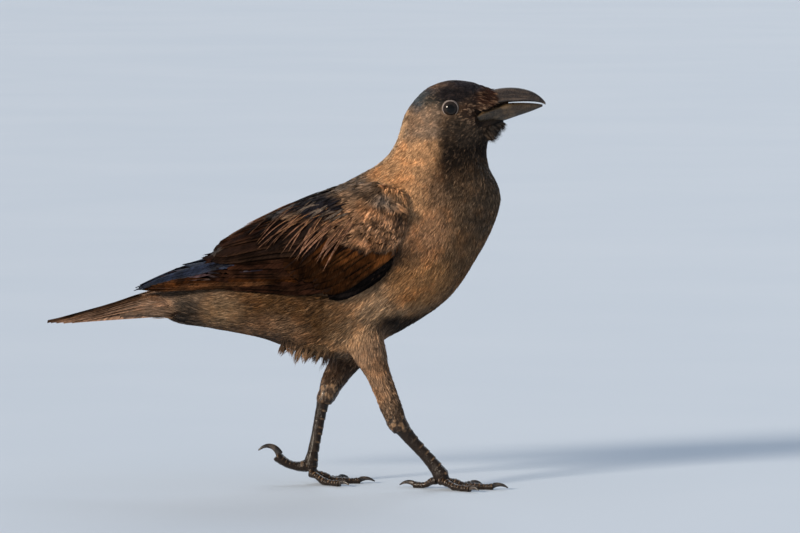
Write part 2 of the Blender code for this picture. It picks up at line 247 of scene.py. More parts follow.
def fused(names: tuple[str, ...], voxel: float, swell: float) -> BMesh:
    """One closed surface round several CAD nodes.

    Args:
        names: The nodes, which lie a small gap apart.
        voxel: Size of the new surface's cells.
        swell: How far each node grows first, so that the gaps close.

    Returns:
        The fused surface without any hidden inner shells.
    """
    shell = to_object("fused", joined(names, swell)[0])
    remesh = shell.modifiers.new("fuse", "REMESH")
    remesh.mode = "VOXEL"
    remesh.voxel_size = voxel * MM
    bm = evaluated(shell)
    keep_largest(bm)
    return bm


def keep_largest(bm: BMesh) -> None:
    """Deletes every connected shell but the one with the most vertices.

    Args:
        bm: The mesh that it works on.
    """
    left = set(bm.verts)
    shells = []
    while left:
        edge = [left.pop()]
        shell = list(edge)
        while edge:
            near = {e.other_vert(v) for v in edge for e in v.link_edges} & left
            left -= near
            edge = list(near)
            shell += edge
        shells.append(shell)
    shells.sort(key=len)
    small = [vert for shell in shells[:-1] for vert in shell]
    bmesh.ops.delete(bm, geom=small, context="VERTS")


def relax(bm: BMesh, rounds: int, factor: float = 0.5) -> None:
    """Smooths all of a mesh's vertices a few times.

    Args:
        bm: The mesh that it works on.
        rounds: How many times.
        factor: How far a vertex moves towards its neighbours' middle each time.
    """
    for _ in range(rounds):
        bmesh.ops.smooth_vert(
            bm, verts=bm.verts, factor=factor, use_axis_x=True, use_axis_y=True, use_axis_z=True
        )


class Surface:
    """A triangulated surface that answers where its nearest point to a place is."""

    least_facing = 0.12  # faces turned further away than this don't count
    corner_blur = 0.05  # keeps a corner's weight finite, in millimetres

    def __init__(self, bm: BMesh, facing: Triple | None = None) -> None:
        """Reads the surface from a bmesh, which stays as it is.

        Args:
            bm: The surface.
            facing: If given, only the faces that look this way count.
        """
        copy = bm.copy()
        bmesh.ops.triangulate(copy, faces=copy.faces)
        copy.normal_update()
        if facing:
            hidden = [f for f in copy.faces if f.normal.dot(Vector(facing)) < self.least_facing]
            bmesh.ops.delete(copy, geom=hidden, context="FACES")
        self.points = np.array([v.co for v in copy.verts]) / MM
        self.normals = np.array([v.normal for v in copy.verts])
        self.corners = np.array([[v.index for v in f.verts] for f in copy.faces])
        self.tree = BVHTree.FromPolygons([tuple(p) for p in self.points], self.corners.tolist())
        copy.free()

    def nearest(self, places: Array) -> tuple[Array, Array]:
        """The surface's nearest points to many places, and its smooth normals there."""
        points, faces, weights = self.touched(places)
        return points, unit((self.normals[self.corners[faces]] * weights).sum(1))

    def touched(self, places: Array) -> tuple[Array, Array, Array]:
        """Finds the surface's nearest point to each place.

        Args:
            places: The places.

        Returns:
            The points, the face that each is on, and its weights for the face's corners.
        """
        found = [self.tree.find_nearest(place) for place in places.tolist()]
        points = np.array([hit[0] for hit in found])
        faces = np.array([hit[2] for hit in found])
        away = np.linalg.norm(self.points[self.corners[faces]] - points[:, None], axis=2)
        return points, faces, 1 / (away + self.corner_blur)[:, :, None]

    def scatter(self, gaps: Array, bare: Array, share: float,
                rng: Generator) -> tuple[Array, Array, Array]:
        """Picks random places on the surface.

        Args:
            gaps: The distance between neighbours on each face.
            bare: The faces that get none.
            share: The part of them that is wanted.
            rng: The source of chance.

        Returns:
            The places, the face that each is on, and its weights for the face's corners.
        """
        corners = self.points[self.corners]
        normals = np.cross(corners[:, 1] - corners[:, 0], corners[:, 2] - corners[:, 0])
        wanted = np.where(bare, 0, np.linalg.norm(normals, axis=1) / 2 / gaps**2) * share
        counts = np.floor(wanted + rng.random(len(wanted))).astype(int)
        faces = np.repeat(np.arange(len(counts)), counts)
        mix = rng.random((len(faces), 2))
        mix = np.where(mix.sum(1, keepdims=True) > 1, 1 - mix, mix)
        weights = np.column_stack([1 - mix.sum(1), mix])[:, :, None]
        return (corners[faces] * weights).sum(1), faces, weights

    def from_outside(self, x: float, z: float, side: Side) -> Vector:
        """Finds the point that is seen from one side of the bird.

        Args:
            x: Its place along the bird.
            z: Its height.
            side: The side.

        Returns:
            The outermost point, or the nearest one where a look from that side misses.
        """
        hit = self.tree.ray_cast(Vector((x, side.value * 150.0, z)), Vector((0, -side.value, 0)))
        if hit[0] is None:
            hit = self.tree.find_nearest(Vector((x, side.value * 5.0, z)))
        return hit[0]


# ---- material graphs


class Graph:
    """Adds nodes to a node tree and joins them."""

    def __init__(self, tree: NodeTree) -> None:
        """Works on one tree."""
        self.tree = tree

    def add(self, kind: str, inputs: dict | None = None, **settings: object) -> Node:
        """A new node.

        Args:
            kind: The node's type name without its ShaderNode prefix.
            inputs: A socket or a value for each named or numbered input.
            settings: The node's own properties.

        Returns:
            The node.
        """
        node = self.tree.nodes.new(f"ShaderNode{kind}")
        for name, value in settings.items():
            setattr(node, name, value)
        self.fill(node, inputs or {})
        return node

    def fill(self, node: Node, inputs: dict) -> None:
        """Links or sets a node's inputs.

        Args:
            node: The node.
            inputs: A socket or a value for each named or numbered input.
        """
        for name, value in inputs.items():
            if isinstance(value, NodeSocket):
                self.tree.links.new(value, node.inputs[name])
            else:
                node.inputs[name].default_value = value

    def math(self, operation: str, *values: object) -> NodeSocket:
        """The result of a Math node."""
        return self.add("Math", dict(enumerate(values)), operation=operation).outputs[0]

    def product(self, first: object, *others: object) -> NodeSocket:
        """Several numbers multiplied."""
        for other in others:
            first = self.math("MULTIPLY", first, other)
        return first

    def toward(self, share: object, start: object, end: object) -> NodeSocket:
        """A number between two others."""
        return self.math("MULTIPLY_ADD", share, self.math("SUBTRACT", end, start), start)

    def scaled(self, colour: object, share: object) -> NodeSocket:
        """A colour made darker or brighter."""
        return self.add("VectorMath", {0: colour, "Scale": share}, operation="SCALE").outputs[0]

    def vector(self, operation: str, *values: object) -> NodeSocket:
        """The vector result of a Vector Math node."""
        node = self.add("VectorMath", dict(enumerate(values)), operation=operation)
        return node.outputs["Vector"]

    def ramp(self, value: object, low: float, high: float, start: float = 0.0,
             end: float = 1.0) -> NodeSocket:
        """A smooth step.

        Args:
            value: What it reads.
            low: Where the step begins.
            high: Where it ends.
            start: The result below the step.
            end: The result above it.

        Returns:
            The result.
        """
        node = self.add(
            "MapRange",
            {"Value": value, "From Min": low, "From Max": high, "To Min": start, "To Max": end},
            interpolation_type="SMOOTHSTEP",
        )
        return node.outputs["Result"]

    def mix(self, factor: object, first: object, second: object) -> NodeSocket:
        """A mix of two colours."""
        return self.add("Mix", {0: factor, 6: first, 7: second}, data_type="RGBA").outputs[2]

    def noise(self, place: object, scale: float, detail: float = 3.0,
              roughness: float = 0.55) -> NodeSocket:
        """Fractal noise between 0 and 1."""
        inputs = {"Vector": place, "Scale": scale, "Detail": detail, "Roughness": roughness}
        return self.add("TexNoise", inputs).outputs[0]

    def object_place(self) -> NodeSocket:
        """Object coordinates."""
        return self.add("TexCoord").outputs["Object"]

    def attribute(self, name: str, output: str = "Fac") -> NodeSocket:
        """A mesh attribute, as a number, vector or colour."""
        return self.add("Attribute", attribute_name=name).outputs[output]


def rgba(colour: Triple) -> tuple[float, float, float, float]:
    """A colour with full alpha."""
    return (*colour, 1.0)


class Finish(Graph):
    """The graph of a new material, which ends in a Principled shader."""

    def __init__(self, name: str) -> None:
        """Starts the material.

        Args:
            name: The material's name.
        """
        self.made = bpy.data.materials.new(name)
        self.made.use_nodes = True
        super().__init__(self.made.node_tree)

    def material(self, inputs: dict, relief: tuple | None = None) -> Material:
        """Fills the shader.

        Args:
            inputs: A socket or a value for each named input of the shader.
            relief: A bump's height, its strength and its depth in metres, if it has one.

        Returns:
            The material.
        """
        if relief:
            bump = self.add("Bump", dict(zip(("Height", "Strength", "Distance"), relief)))
            inputs = {**inputs, "Normal": bump.outputs[0]}
        self.fill(self.tree.nodes["Principled BSDF"], inputs)
        return self.made


def dress(obj: Object, material: Material) -> None:
    """Gives an object one material for all its faces."""
    obj.data.materials.clear()
    obj.data.materials.append(material)


# ---- markings and finishes


@dataclass(frozen=True)
class Marking:
    """A soft-edged patch of colour, the same on both sides of the bird.

    Its place and reach are in millimetres; gloss says how much its feathers shine, and
    fleck how many of them are pale.
    """

    name: str
    place: Triple
    reach: Triple
    colour: Triple
    gloss: float = 0.0
    softness: float = 0.35
    fleck: float = 0.35


MARKINGS = (
    Marking("breast", (112, 20, 175), (60, 80, 55), (0.16, 0.09, 0.043)),
    Marking("belly", (60, 20, 116), (58, 80, 34), (0.33, 0.205, 0.112)),
    Marking("flank", (-10, 20, 128), (48, 80, 34), (0.066, 0.03, 0.008)),
    Marking("vent", (-18, 10, 112), (30, 60, 18), (0.12, 0.068, 0.036)),
    Marking("vent fringe", (6, 0, 90), (32, 24, 9), (0.046, 0.026, 0.014), 0, 0.35, 0.2),
    Marking("dark vent", (-18, 10, 108), (15, 60, 6), (0.035, 0.022, 0.014), 0, 0.6),
    Marking("rump", (-62, 0, 176), (30, 24, 14), (0.022, 0.016, 0.013), 0, 0.4, 0),
    Marking("undertail", (-88, 10, 130), (42, 60, 26), (0.078, 0.052, 0.033), 0, 0.5),
    Marking("undertail fleck", (-54, 10, 131), (15, 60, 11), (0.15, 0.094, 0.05), 0, 0.5, 0.6),
    Marking("tail root", (-108, 10, 130), (18, 60, 20), (0.17, 0.112, 0.078), 0, 0.6),
    Marking("undertail dark", (-80, 10, 130), (10, 60, 11), (0.02, 0.015, 0.011), 0, 0.6),
    Marking("side of the breast", (92, 40, 152), (24, 30, 24), (0.32, 0.16, 0.062)),
    # painted shade: the lower contour of the breast, which turns away from the light, made dark
    Marking("keel", (104, 0, 118), (42, 30, 16), (0.018, 0.011, 0.007), 0, 0.5),
    # painted shadow: the underside of the belly in front of the thigh, made dark
    Marking("front of the thigh", (73, 20, 119), (15, 40, 9), (0.016, 0.01, 0.006), 0, 0.5),
    Marking("shoulder of the breast", (92, 40, 198), (22, 40, 30), (0.29, 0.157, 0.08)),
    Marking("back", (0, 0, 205), (70, 30, 40), (0.036, 0.034, 0.036), 0.5),
    # painted shade: the wing's bare skin, seen in the gaps between its feathers, made nearly black
    Marking("wing", (10, 58, 175), (95, 26, 30), (0.012, 0.007, 0.005), 0, 0.25, 0),
    Marking("lesser coverts", (58, 50, 194), (33, 26, 17), (0.27, 0.145, 0.076), 0, 0.35, 0.9),
    Marking("mantle", (42, 0, 226), (34, 44, 22), (0.098, 0.076, 0.06), 0.5, 0.35, 0.8),
    Marking("dark scapulars", (18, 30, 207), (17, 30, 9), (0.012, 0.011, 0.014), 0.2, 0.3, 0.1),
    # painted shadow cast by the grey fringe onto the bend of the wing
    Marking("under the fringe", (80, 40, 199), (12, 22, 6), (0.06, 0.035, 0.022), 0, 0.4),
    Marking("grey fringe", (68, 38, 211), (14, 24, 7), (0.15, 0.116, 0.092), 0, 0.35, 0.5),
    Marking("collar", (82, 14, 236), (28, 40, 50), (0.425, 0.243, 0.122), 0, 0.22, 0.12),
    Marking("upper breast", (107, 30, 221), (13, 40, 15), (0.15, 0.086, 0.047), 0, 0.6),
    Marking("nape", (86, 8, 274), (22, 40, 20), (0.16, 0.108, 0.073)),
    Marking("back of the neck", (72, 0, 252), (22, 11, 40), (0.36, 0.255, 0.165), 0, 0.4),
    # partly painted reflection: the hind crown's own dark grey, with a blue tint that stands in for the
    # sky's reflection
    Marking("hind crown", (98, 4, 291), (24, 40, 15), (0.05, 0.069, 0.089), 0.2),
    Marking("behind the eye", (104, 18, 282), (13, 20, 9), (0.037, 0.037, 0.034), 0.2, 0.4, 0.9),
    Marking("ear", (101, 20, 268), (14, 24, 12), (0.225, 0.155, 0.106), 0, 0.35, 0.7),
    Marking("throat", (134, 6, 240), (33, 60, 38), (0.016, 0.01, 0.006), 0.7, 0.2, 0.5),
    Marking("lower throat", (133, 6, 209), (30, 40, 27), (0.09, 0.058, 0.034), 0.5, 0.5, 0.7),
    Marking("cheek", (124, 16, 265), (18, 24, 14), (0.04, 0.028, 0.019), 0.8, 0.35, 0.5),
    Marking("lores", (136, 12, 277), (16, 14, 11), (0.036, 0.021, 0.014), 0.6, 0.35, 2.2),
    Marking("crown", (114, 0, 300), (22, 22, 12), (0.115, 0.076, 0.055), 0.4, 0.35, 0.3),
    Marking("forehead", (128, 0, 297), (18, 24, 12), (0.02, 0.017, 0.022), 0.9, 0.5, 0.1),
    Marking("brow", (116, 14, 288), (17, 14, 6), (0.014, 0.011, 0.012), 0.5, 0.6, 0.15),
    Marking("nasal bristles", (146, 8, 286), (15, 16, 8), (0.027, 0.01, 0.005), 0.6, 0.35, 1.5),
    Marking("chin", (152, 4, 263), (14, 14, 9), (0.009, 0.007, 0.006), 0.3, 0.35, 0.05),
    Marking("right thigh", (60, 24, 84), (24, 30, 32), (0.225, 0.138, 0.082), 0, 0.3),
    Marking("left thigh", (30, 20, 82), (22, 20, 17), (0.05, 0.03, 0.019), 0.9, 0.35, 0.8),
    Marking("ankles", (50, 22, 48), (60, 30, 14), (0.075, 0.048, 0.03), 0.8, 0.5, 0.8),
)
GROUND_COLOUR = (0.14, 0.084, 0.048)


@dataclass(frozen=True)
class Plumage:
    """The markings that skin and coat share, and the two finishes that carry them."""

    wander: float = 3.2  # how far a marking's edge strays
    mottle_scale: float = 120.0
    rust_scale: float = 60.0
    streak_scale: float = 420.0
    strand_roughness: float = 0.62
    gloss_share: float = 0.24  # how much smoother the shiniest feathers are
    hackle: Triple = (0.230, 0.150, 0.095)  # what a pale feather adds to its place's colour
    rusty: Triple = (1.08, 0.97, 0.86)  # how reddish patches differ from the feathers round them
    skin_roughness: float = 0.8

    def markings(self) -> NodeTree:
        """Builds the node group that skin and coat share.

        Returns:
            The group, from a place to the colour, gloss and pale flecks of the feathers there.
        """
        tree = bpy.data.node_groups.new("crow_markings", "ShaderNodeTree")
        tree.interface.new_socket("Place", in_out="INPUT", socket_type="NodeSocketVector")
        tree.interface.new_socket("Colour", in_out="OUTPUT", socket_type="NodeSocketColor")
        tree.interface.new_socket("Gloss", in_out="OUTPUT", socket_type="NodeSocketFloat")
        tree.interface.new_socket("Fleck", in_out="OUTPUT", socket_type="NodeSocketFloat")
        graph = Graph(tree)
        place = tree.nodes.new("NodeGroupInput").outputs["Place"]
        wander = graph.add("TexNoise", {"Vector": place, "Scale": 110.0, "Detail": 2.0})
        shift = graph.vector("SUBTRACT", wander.outputs["Color"], (0.5, 0.5, 0.5))
        moved = graph.vector("MULTIPLY_ADD", shift, (2 * self.wander * MM,) * 3, place)
        split = graph.add("SeparateXYZ", {0: moved}).outputs
        folded = graph.add(
            "CombineXYZ", {0: split[0], 1: graph.math("ABSOLUTE", split[1]), 2: split[2]}
        ).outputs[0]
        colour: object = rgba(GROUND_COLOUR)
        gloss: object = 0.0
        fleck: object = 0.35
        for marking in MARKINGS:
            scale = tuple(1 / (r * MM) for r in marking.reach)
            offset = tuple(-c / r for c, r in zip(marking.place, marking.reach))
            local = graph.vector("MULTIPLY_ADD", folded, scale, offset)
            away = graph.add("VectorMath", {0: local}, operation="LENGTH").outputs["Value"]
            share = graph.ramp(away, 1 - marking.softness, 1 + marking.softness, 1.0, 0.0)
            colour = graph.mix(share, colour, rgba(marking.colour))
            gloss = graph.toward(share, gloss, marking.gloss)
            fleck = graph.toward(share, fleck, marking.fleck)
        mottle = graph.ramp(graph.noise(place, self.mottle_scale, 4.0), 0.3, 0.7, 0.81, 1.21)
        colour = graph.scaled(colour, mottle)
        reddish = graph.ramp(graph.noise(place, self.rust_scale, 3.0), 0.46, 0.64)
        colour = graph.mix(reddish, colour, graph.vector("MULTIPLY", colour, self.rusty))
        graph.fill(tree.nodes.new("NodeGroupOutput"), {"Colour": colour, "Gloss": gloss, "Fleck": fleck})
        return tree

    def marked(self, graph: Graph, tree: NodeTree) -> bpy.types.bpy_prop_collection:
        """The outputs of the shared group at each point of an object.

        Args:
            graph: The graph that reads them.
            tree: The shared markings.

        Returns:
            The outputs, by name.
        """
        node = graph.add("Group", node_tree=tree)
        graph.fill(node, {"Place": graph.object_place()})
        return node.outputs

    def skin(self, tree: NodeTree) -> Material:
        """Makes the finish of the skin: the same markings, darker, with a fine fibrous bump.

        Args:
            tree: The shared markings.

        Returns:
            The material.
        """
        graph = Finish("under_feathers")
        fibres = graph.noise(graph.object_place(), self.streak_scale, 5.0, 0.7)
        depth = graph.ramp(fibres, 0.25, 0.75, 0.40, 0.78)
        inputs = {"Base Color": graph.scaled(self.marked(graph, tree)["Colour"], depth),
                  "Roughness": self.skin_roughness, "Specular IOR Level": 0.2}
        return graph.material(inputs, (fibres, 0.6, 0.0006))

    def strands(self, tree: NodeTree, name: str, contrast: float) -> Material:
        """Makes the finish of small feathers: the markings, varied by tuft and from root to tip.

        Args:
            tree: The shared markings.
            name: The finish's name.
            contrast: How much tufts differ in brightness.

        Returns:
            The material.
        """
        graph = Finish(name)
        marks = self.marked(graph, tree)
        along, tuft, strand = (graph.attribute(label) for label in ("along", "tuft", "strand"))
        bright = graph.product(
            graph.ramp(along, 0.0, 0.8, 0.55, 1.10),
            graph.ramp(tuft, 0.0, 1.0, 1 - contrast, 1 + contrast),
            graph.ramp(strand, 0.0, 1.0, 0.60, 1.40),
        )
        pale = graph.product(
            graph.ramp(tuft, 0.66, 0.88),
            graph.ramp(strand, 0.25, 0.75, 0.2, 1.0),
            marks["Fleck"],
            graph.ramp(along, 0.1, 0.7),
        )
        colour = graph.vector("ADD", graph.scaled(marks["Colour"], bright), graph.scaled(self.hackle, pale))
        rough = graph.math("MULTIPLY_ADD", marks["Gloss"], -self.gloss_share, self.strand_roughness)
        return graph.material({"Base Color": colour, "Roughness": rough, "Specular IOR Level": 0.16})


@dataclass(frozen=True)
class Vanes:
    """The finish of the large feathers: barbs, a shaft, and edges worn pale."""

    name: str
    specular: float
    roughness: float
    worn_colour: Triple = (0.460, 0.235, 0.120)
    shaft_colour: Triple = (0.010, 0.006, 0.005)
    blotch_scale: float = 75.0
    barb_scale: Triple = (3.1, 1.6, 1.0)  # of the barbs, against the streaks

    def material(self) -> Material:
        """Makes the finish.

        Returns:
            The material, which reads each feather's colour, with painted light or shade in some rows, its
            wear, and its across and along.
        """
        graph = Finish(self.name)
        place = graph.attribute("place", "Vector")
        streaks = graph.noise(place, 1.0, 4.0, 0.65)
        barbs = graph.noise(graph.vector("MULTIPLY", place, self.barb_scale), 1.0, 3.0, 0.7)
        blotches = graph.noise(graph.object_place(), self.blotch_scale, 3.0, 0.6)
        bright = graph.product(
            graph.ramp(streaks, 0.30, 0.70, 0.40, 1.65),
            graph.ramp(barbs, 0.3, 0.7, 0.75, 1.3),
            graph.ramp(graph.attribute("tuft"), 0.0, 1.0, 0.75, 1.25),
            graph.ramp(blotches, 0.34, 0.64, 0.45, 1.6),
        )
        edge = graph.math("ABSOLUTE", graph.attribute("across"))
        tip = graph.product(graph.ramp(graph.attribute("along"), 0.88, 1.0), 0.4)
        pale_share = graph.product(
            graph.math("MAXIMUM", graph.ramp(edge, 0.62, 0.96), tip),
            graph.ramp(streaks, 0.34, 0.58, 0.12, 1.0),
            graph.attribute("wear"),
        )
        colour = graph.scaled(graph.attribute("dye", "Color"), bright)
        colour = graph.mix(graph.math("MINIMUM", pale_share, 1.0), colour, rgba(self.worn_colour))
        colour = graph.mix(graph.ramp(edge, 0.04, 0.09, 0.7, 0.0), colour, rgba(self.shaft_colour))
        rough = graph.ramp(barbs, 0.3, 0.7, self.roughness - 0.06, self.roughness + 0.08)
        inputs = {"Base Color": colour, "Roughness": rough, "Specular IOR Level": self.specular}
        return graph.material(inputs, (barbs, 0.5, 0.0003))


@dataclass(frozen=True)
class Horn:
    """Bill and claws: satin horn, streaked along its length and scuffed."""

    name: str
    colour: Triple
    pale: Triple
    roughness: float
    streak: Triple = (38.0, 480.0, 480.0)

    def material(self) -> Material:
        """Makes the finish.

        Returns:
            The material, from Object coordinates stretched along the bill.
        """
        graph = Finish(self.name)
        place = graph.object_place()
        grain = graph.noise(graph.vector("MULTIPLY", place, self.streak), 1.0, 5.0, 0.6)
        clouds = graph.ramp(graph.noise(place, 130.0, 3.0), 0.35, 0.65, 0.15, 1.0)
        share = graph.product(graph.ramp(grain, 0.40, 0.66), clouds)
        scuffs = graph.noise(place, 900.0, 2.0, 0.5)
        rough = graph.ramp(scuffs, 0.3, 0.75, self.roughness - 0.08, self.roughness + 0.16)
        inputs = {"Base Color": graph.mix(share, rgba(self.colour), rgba(self.pale)),
                  "Roughness": rough, "Specular IOR Level": 0.42}
        return graph.material(inputs, (grain, 0.2, 0.0002))


@dataclass(frozen=True)
class Scales:
    """Wet, dark leg scales with paler ridges: worn plate edges, and painted highlights on the folds above
    the ankle.
    """

    colour: Triple = (0.0130, 0.0076, 0.0042)
    # pale ridges: worn plate edges, and a painted highlight on the folds above the ankle
    ridge: Triple = (0.210, 0.128, 0.070)

    def material(self) -> Material:
        """Makes the finish.

        Returns:
            The material: small plates between the modelled ones, and paler ridges, partly painted
                highlight.
        """
        graph = Finish("leg_scales")
        place = graph.object_place()
        cells = graph.add("TexVoronoi", {"Vector": place, "Scale": 900.0}, feature="DISTANCE_TO_EDGE")
        groove = graph.ramp(cells.outputs["Distance"], 0.0, 0.12)
        # share of the pale ridge colour: worn plate edges, and painted highlight on the folds
        pale_share = graph.product(graph.attribute("ridge"), graph.ramp(graph.noise(place, 260.0), 0.3, 0.7))
        rough = graph.ramp(graph.noise(place, 320.0, 3.0), 0.3, 0.7, 0.16, 0.38)
        inputs = {"Base Color": graph.mix(pale_share, rgba(self.colour), rgba(self.ridge)),
                  "Roughness": rough, "Specular IOR Level": 0.26}
        return graph.material(inputs, (groove, 0.35, 0.0002))


@dataclass(frozen=True)
class EyeGlass:
    """A dark brown iris round a black pupil, under a clear wet surface."""

    iris: Triple = (0.014, 0.010, 0.008)
    pupil: Triple = (0.002, 0.002, 0.002)
    pupil_radius: float = 3.1

    def material(self, centre: Vector) -> Material:
        """Makes the finish of one eye.

        Args:
            centre: The eye's centre, in metres.

        Returns:
            A material whose rings lie round the eye's own axis across the head.
        """
        graph = Finish("eye_glass")
        place = graph.vector("SUBTRACT", graph.object_place(), tuple(centre))
        flat = graph.vector("MULTIPLY", place, (1.0, 0.0, 1.0))
        away = graph.add("VectorMath", {0: flat}, operation="LENGTH").outputs["Value"]
        radius = self.pupil_radius * MM
        ring = graph.ramp(away, radius * 0.94, radius * 1.06)
        fibres = graph.ramp(graph.noise(place, 700.0, 3.0), 0.3, 0.7, 0.6, 1.5)
        colour = graph.mix(ring, rgba(self.pupil), graph.scaled(self.iris, fibres))
        return graph.material({"Base Color": colour, "Roughness": 0.09, "Specular IOR Level": 0.22})


@dataclass(frozen=True)
class LidSkin:
    """The bare grey-brown rim of the eye."""

    colour: Triple = (0.200, 0.165, 0.150)

    def material(self) -> Material:
        """Makes the finish.

        Returns:
            The material, with fine wrinkles.
        """
        graph = Finish("lid_skin")
        grain = graph.noise(graph.object_place(), 1500.0, 3.0)
        colour = graph.scaled(self.colour, graph.ramp(grain, 0.3, 0.7, 0.6, 1.35))
        return graph.material({"Base Color": colour, "Roughness": 0.5}, (grain, 0.5, 0.0002))


# ---- the lie of the feathers


@dataclass(frozen=True)
class Guide:
    """How the feathers grow near one place on the bird.

    Attributes:
        name: Where it is.
        place: The place, in millimetres.
        way: The direction in which the feathers point there.
        length: Length of a tuft.
        fan: How far a tuft's strands spread at their tips.
        gap: Distance between neighbouring tufts.
        depth: How far the skin lies under the coat's surface.
        ruffle: How far the tips stand out of the coat.
        paired: Whether the other side of the bird has the same guide.
        fill: How much of its depth the coat fills.
    """

    name: str
    place: Triple
    way: Triple
    length: float
    fan: float
    gap: float
    depth: float
    ruffle: float
    paired: bool = True
    fill: float = 1.0


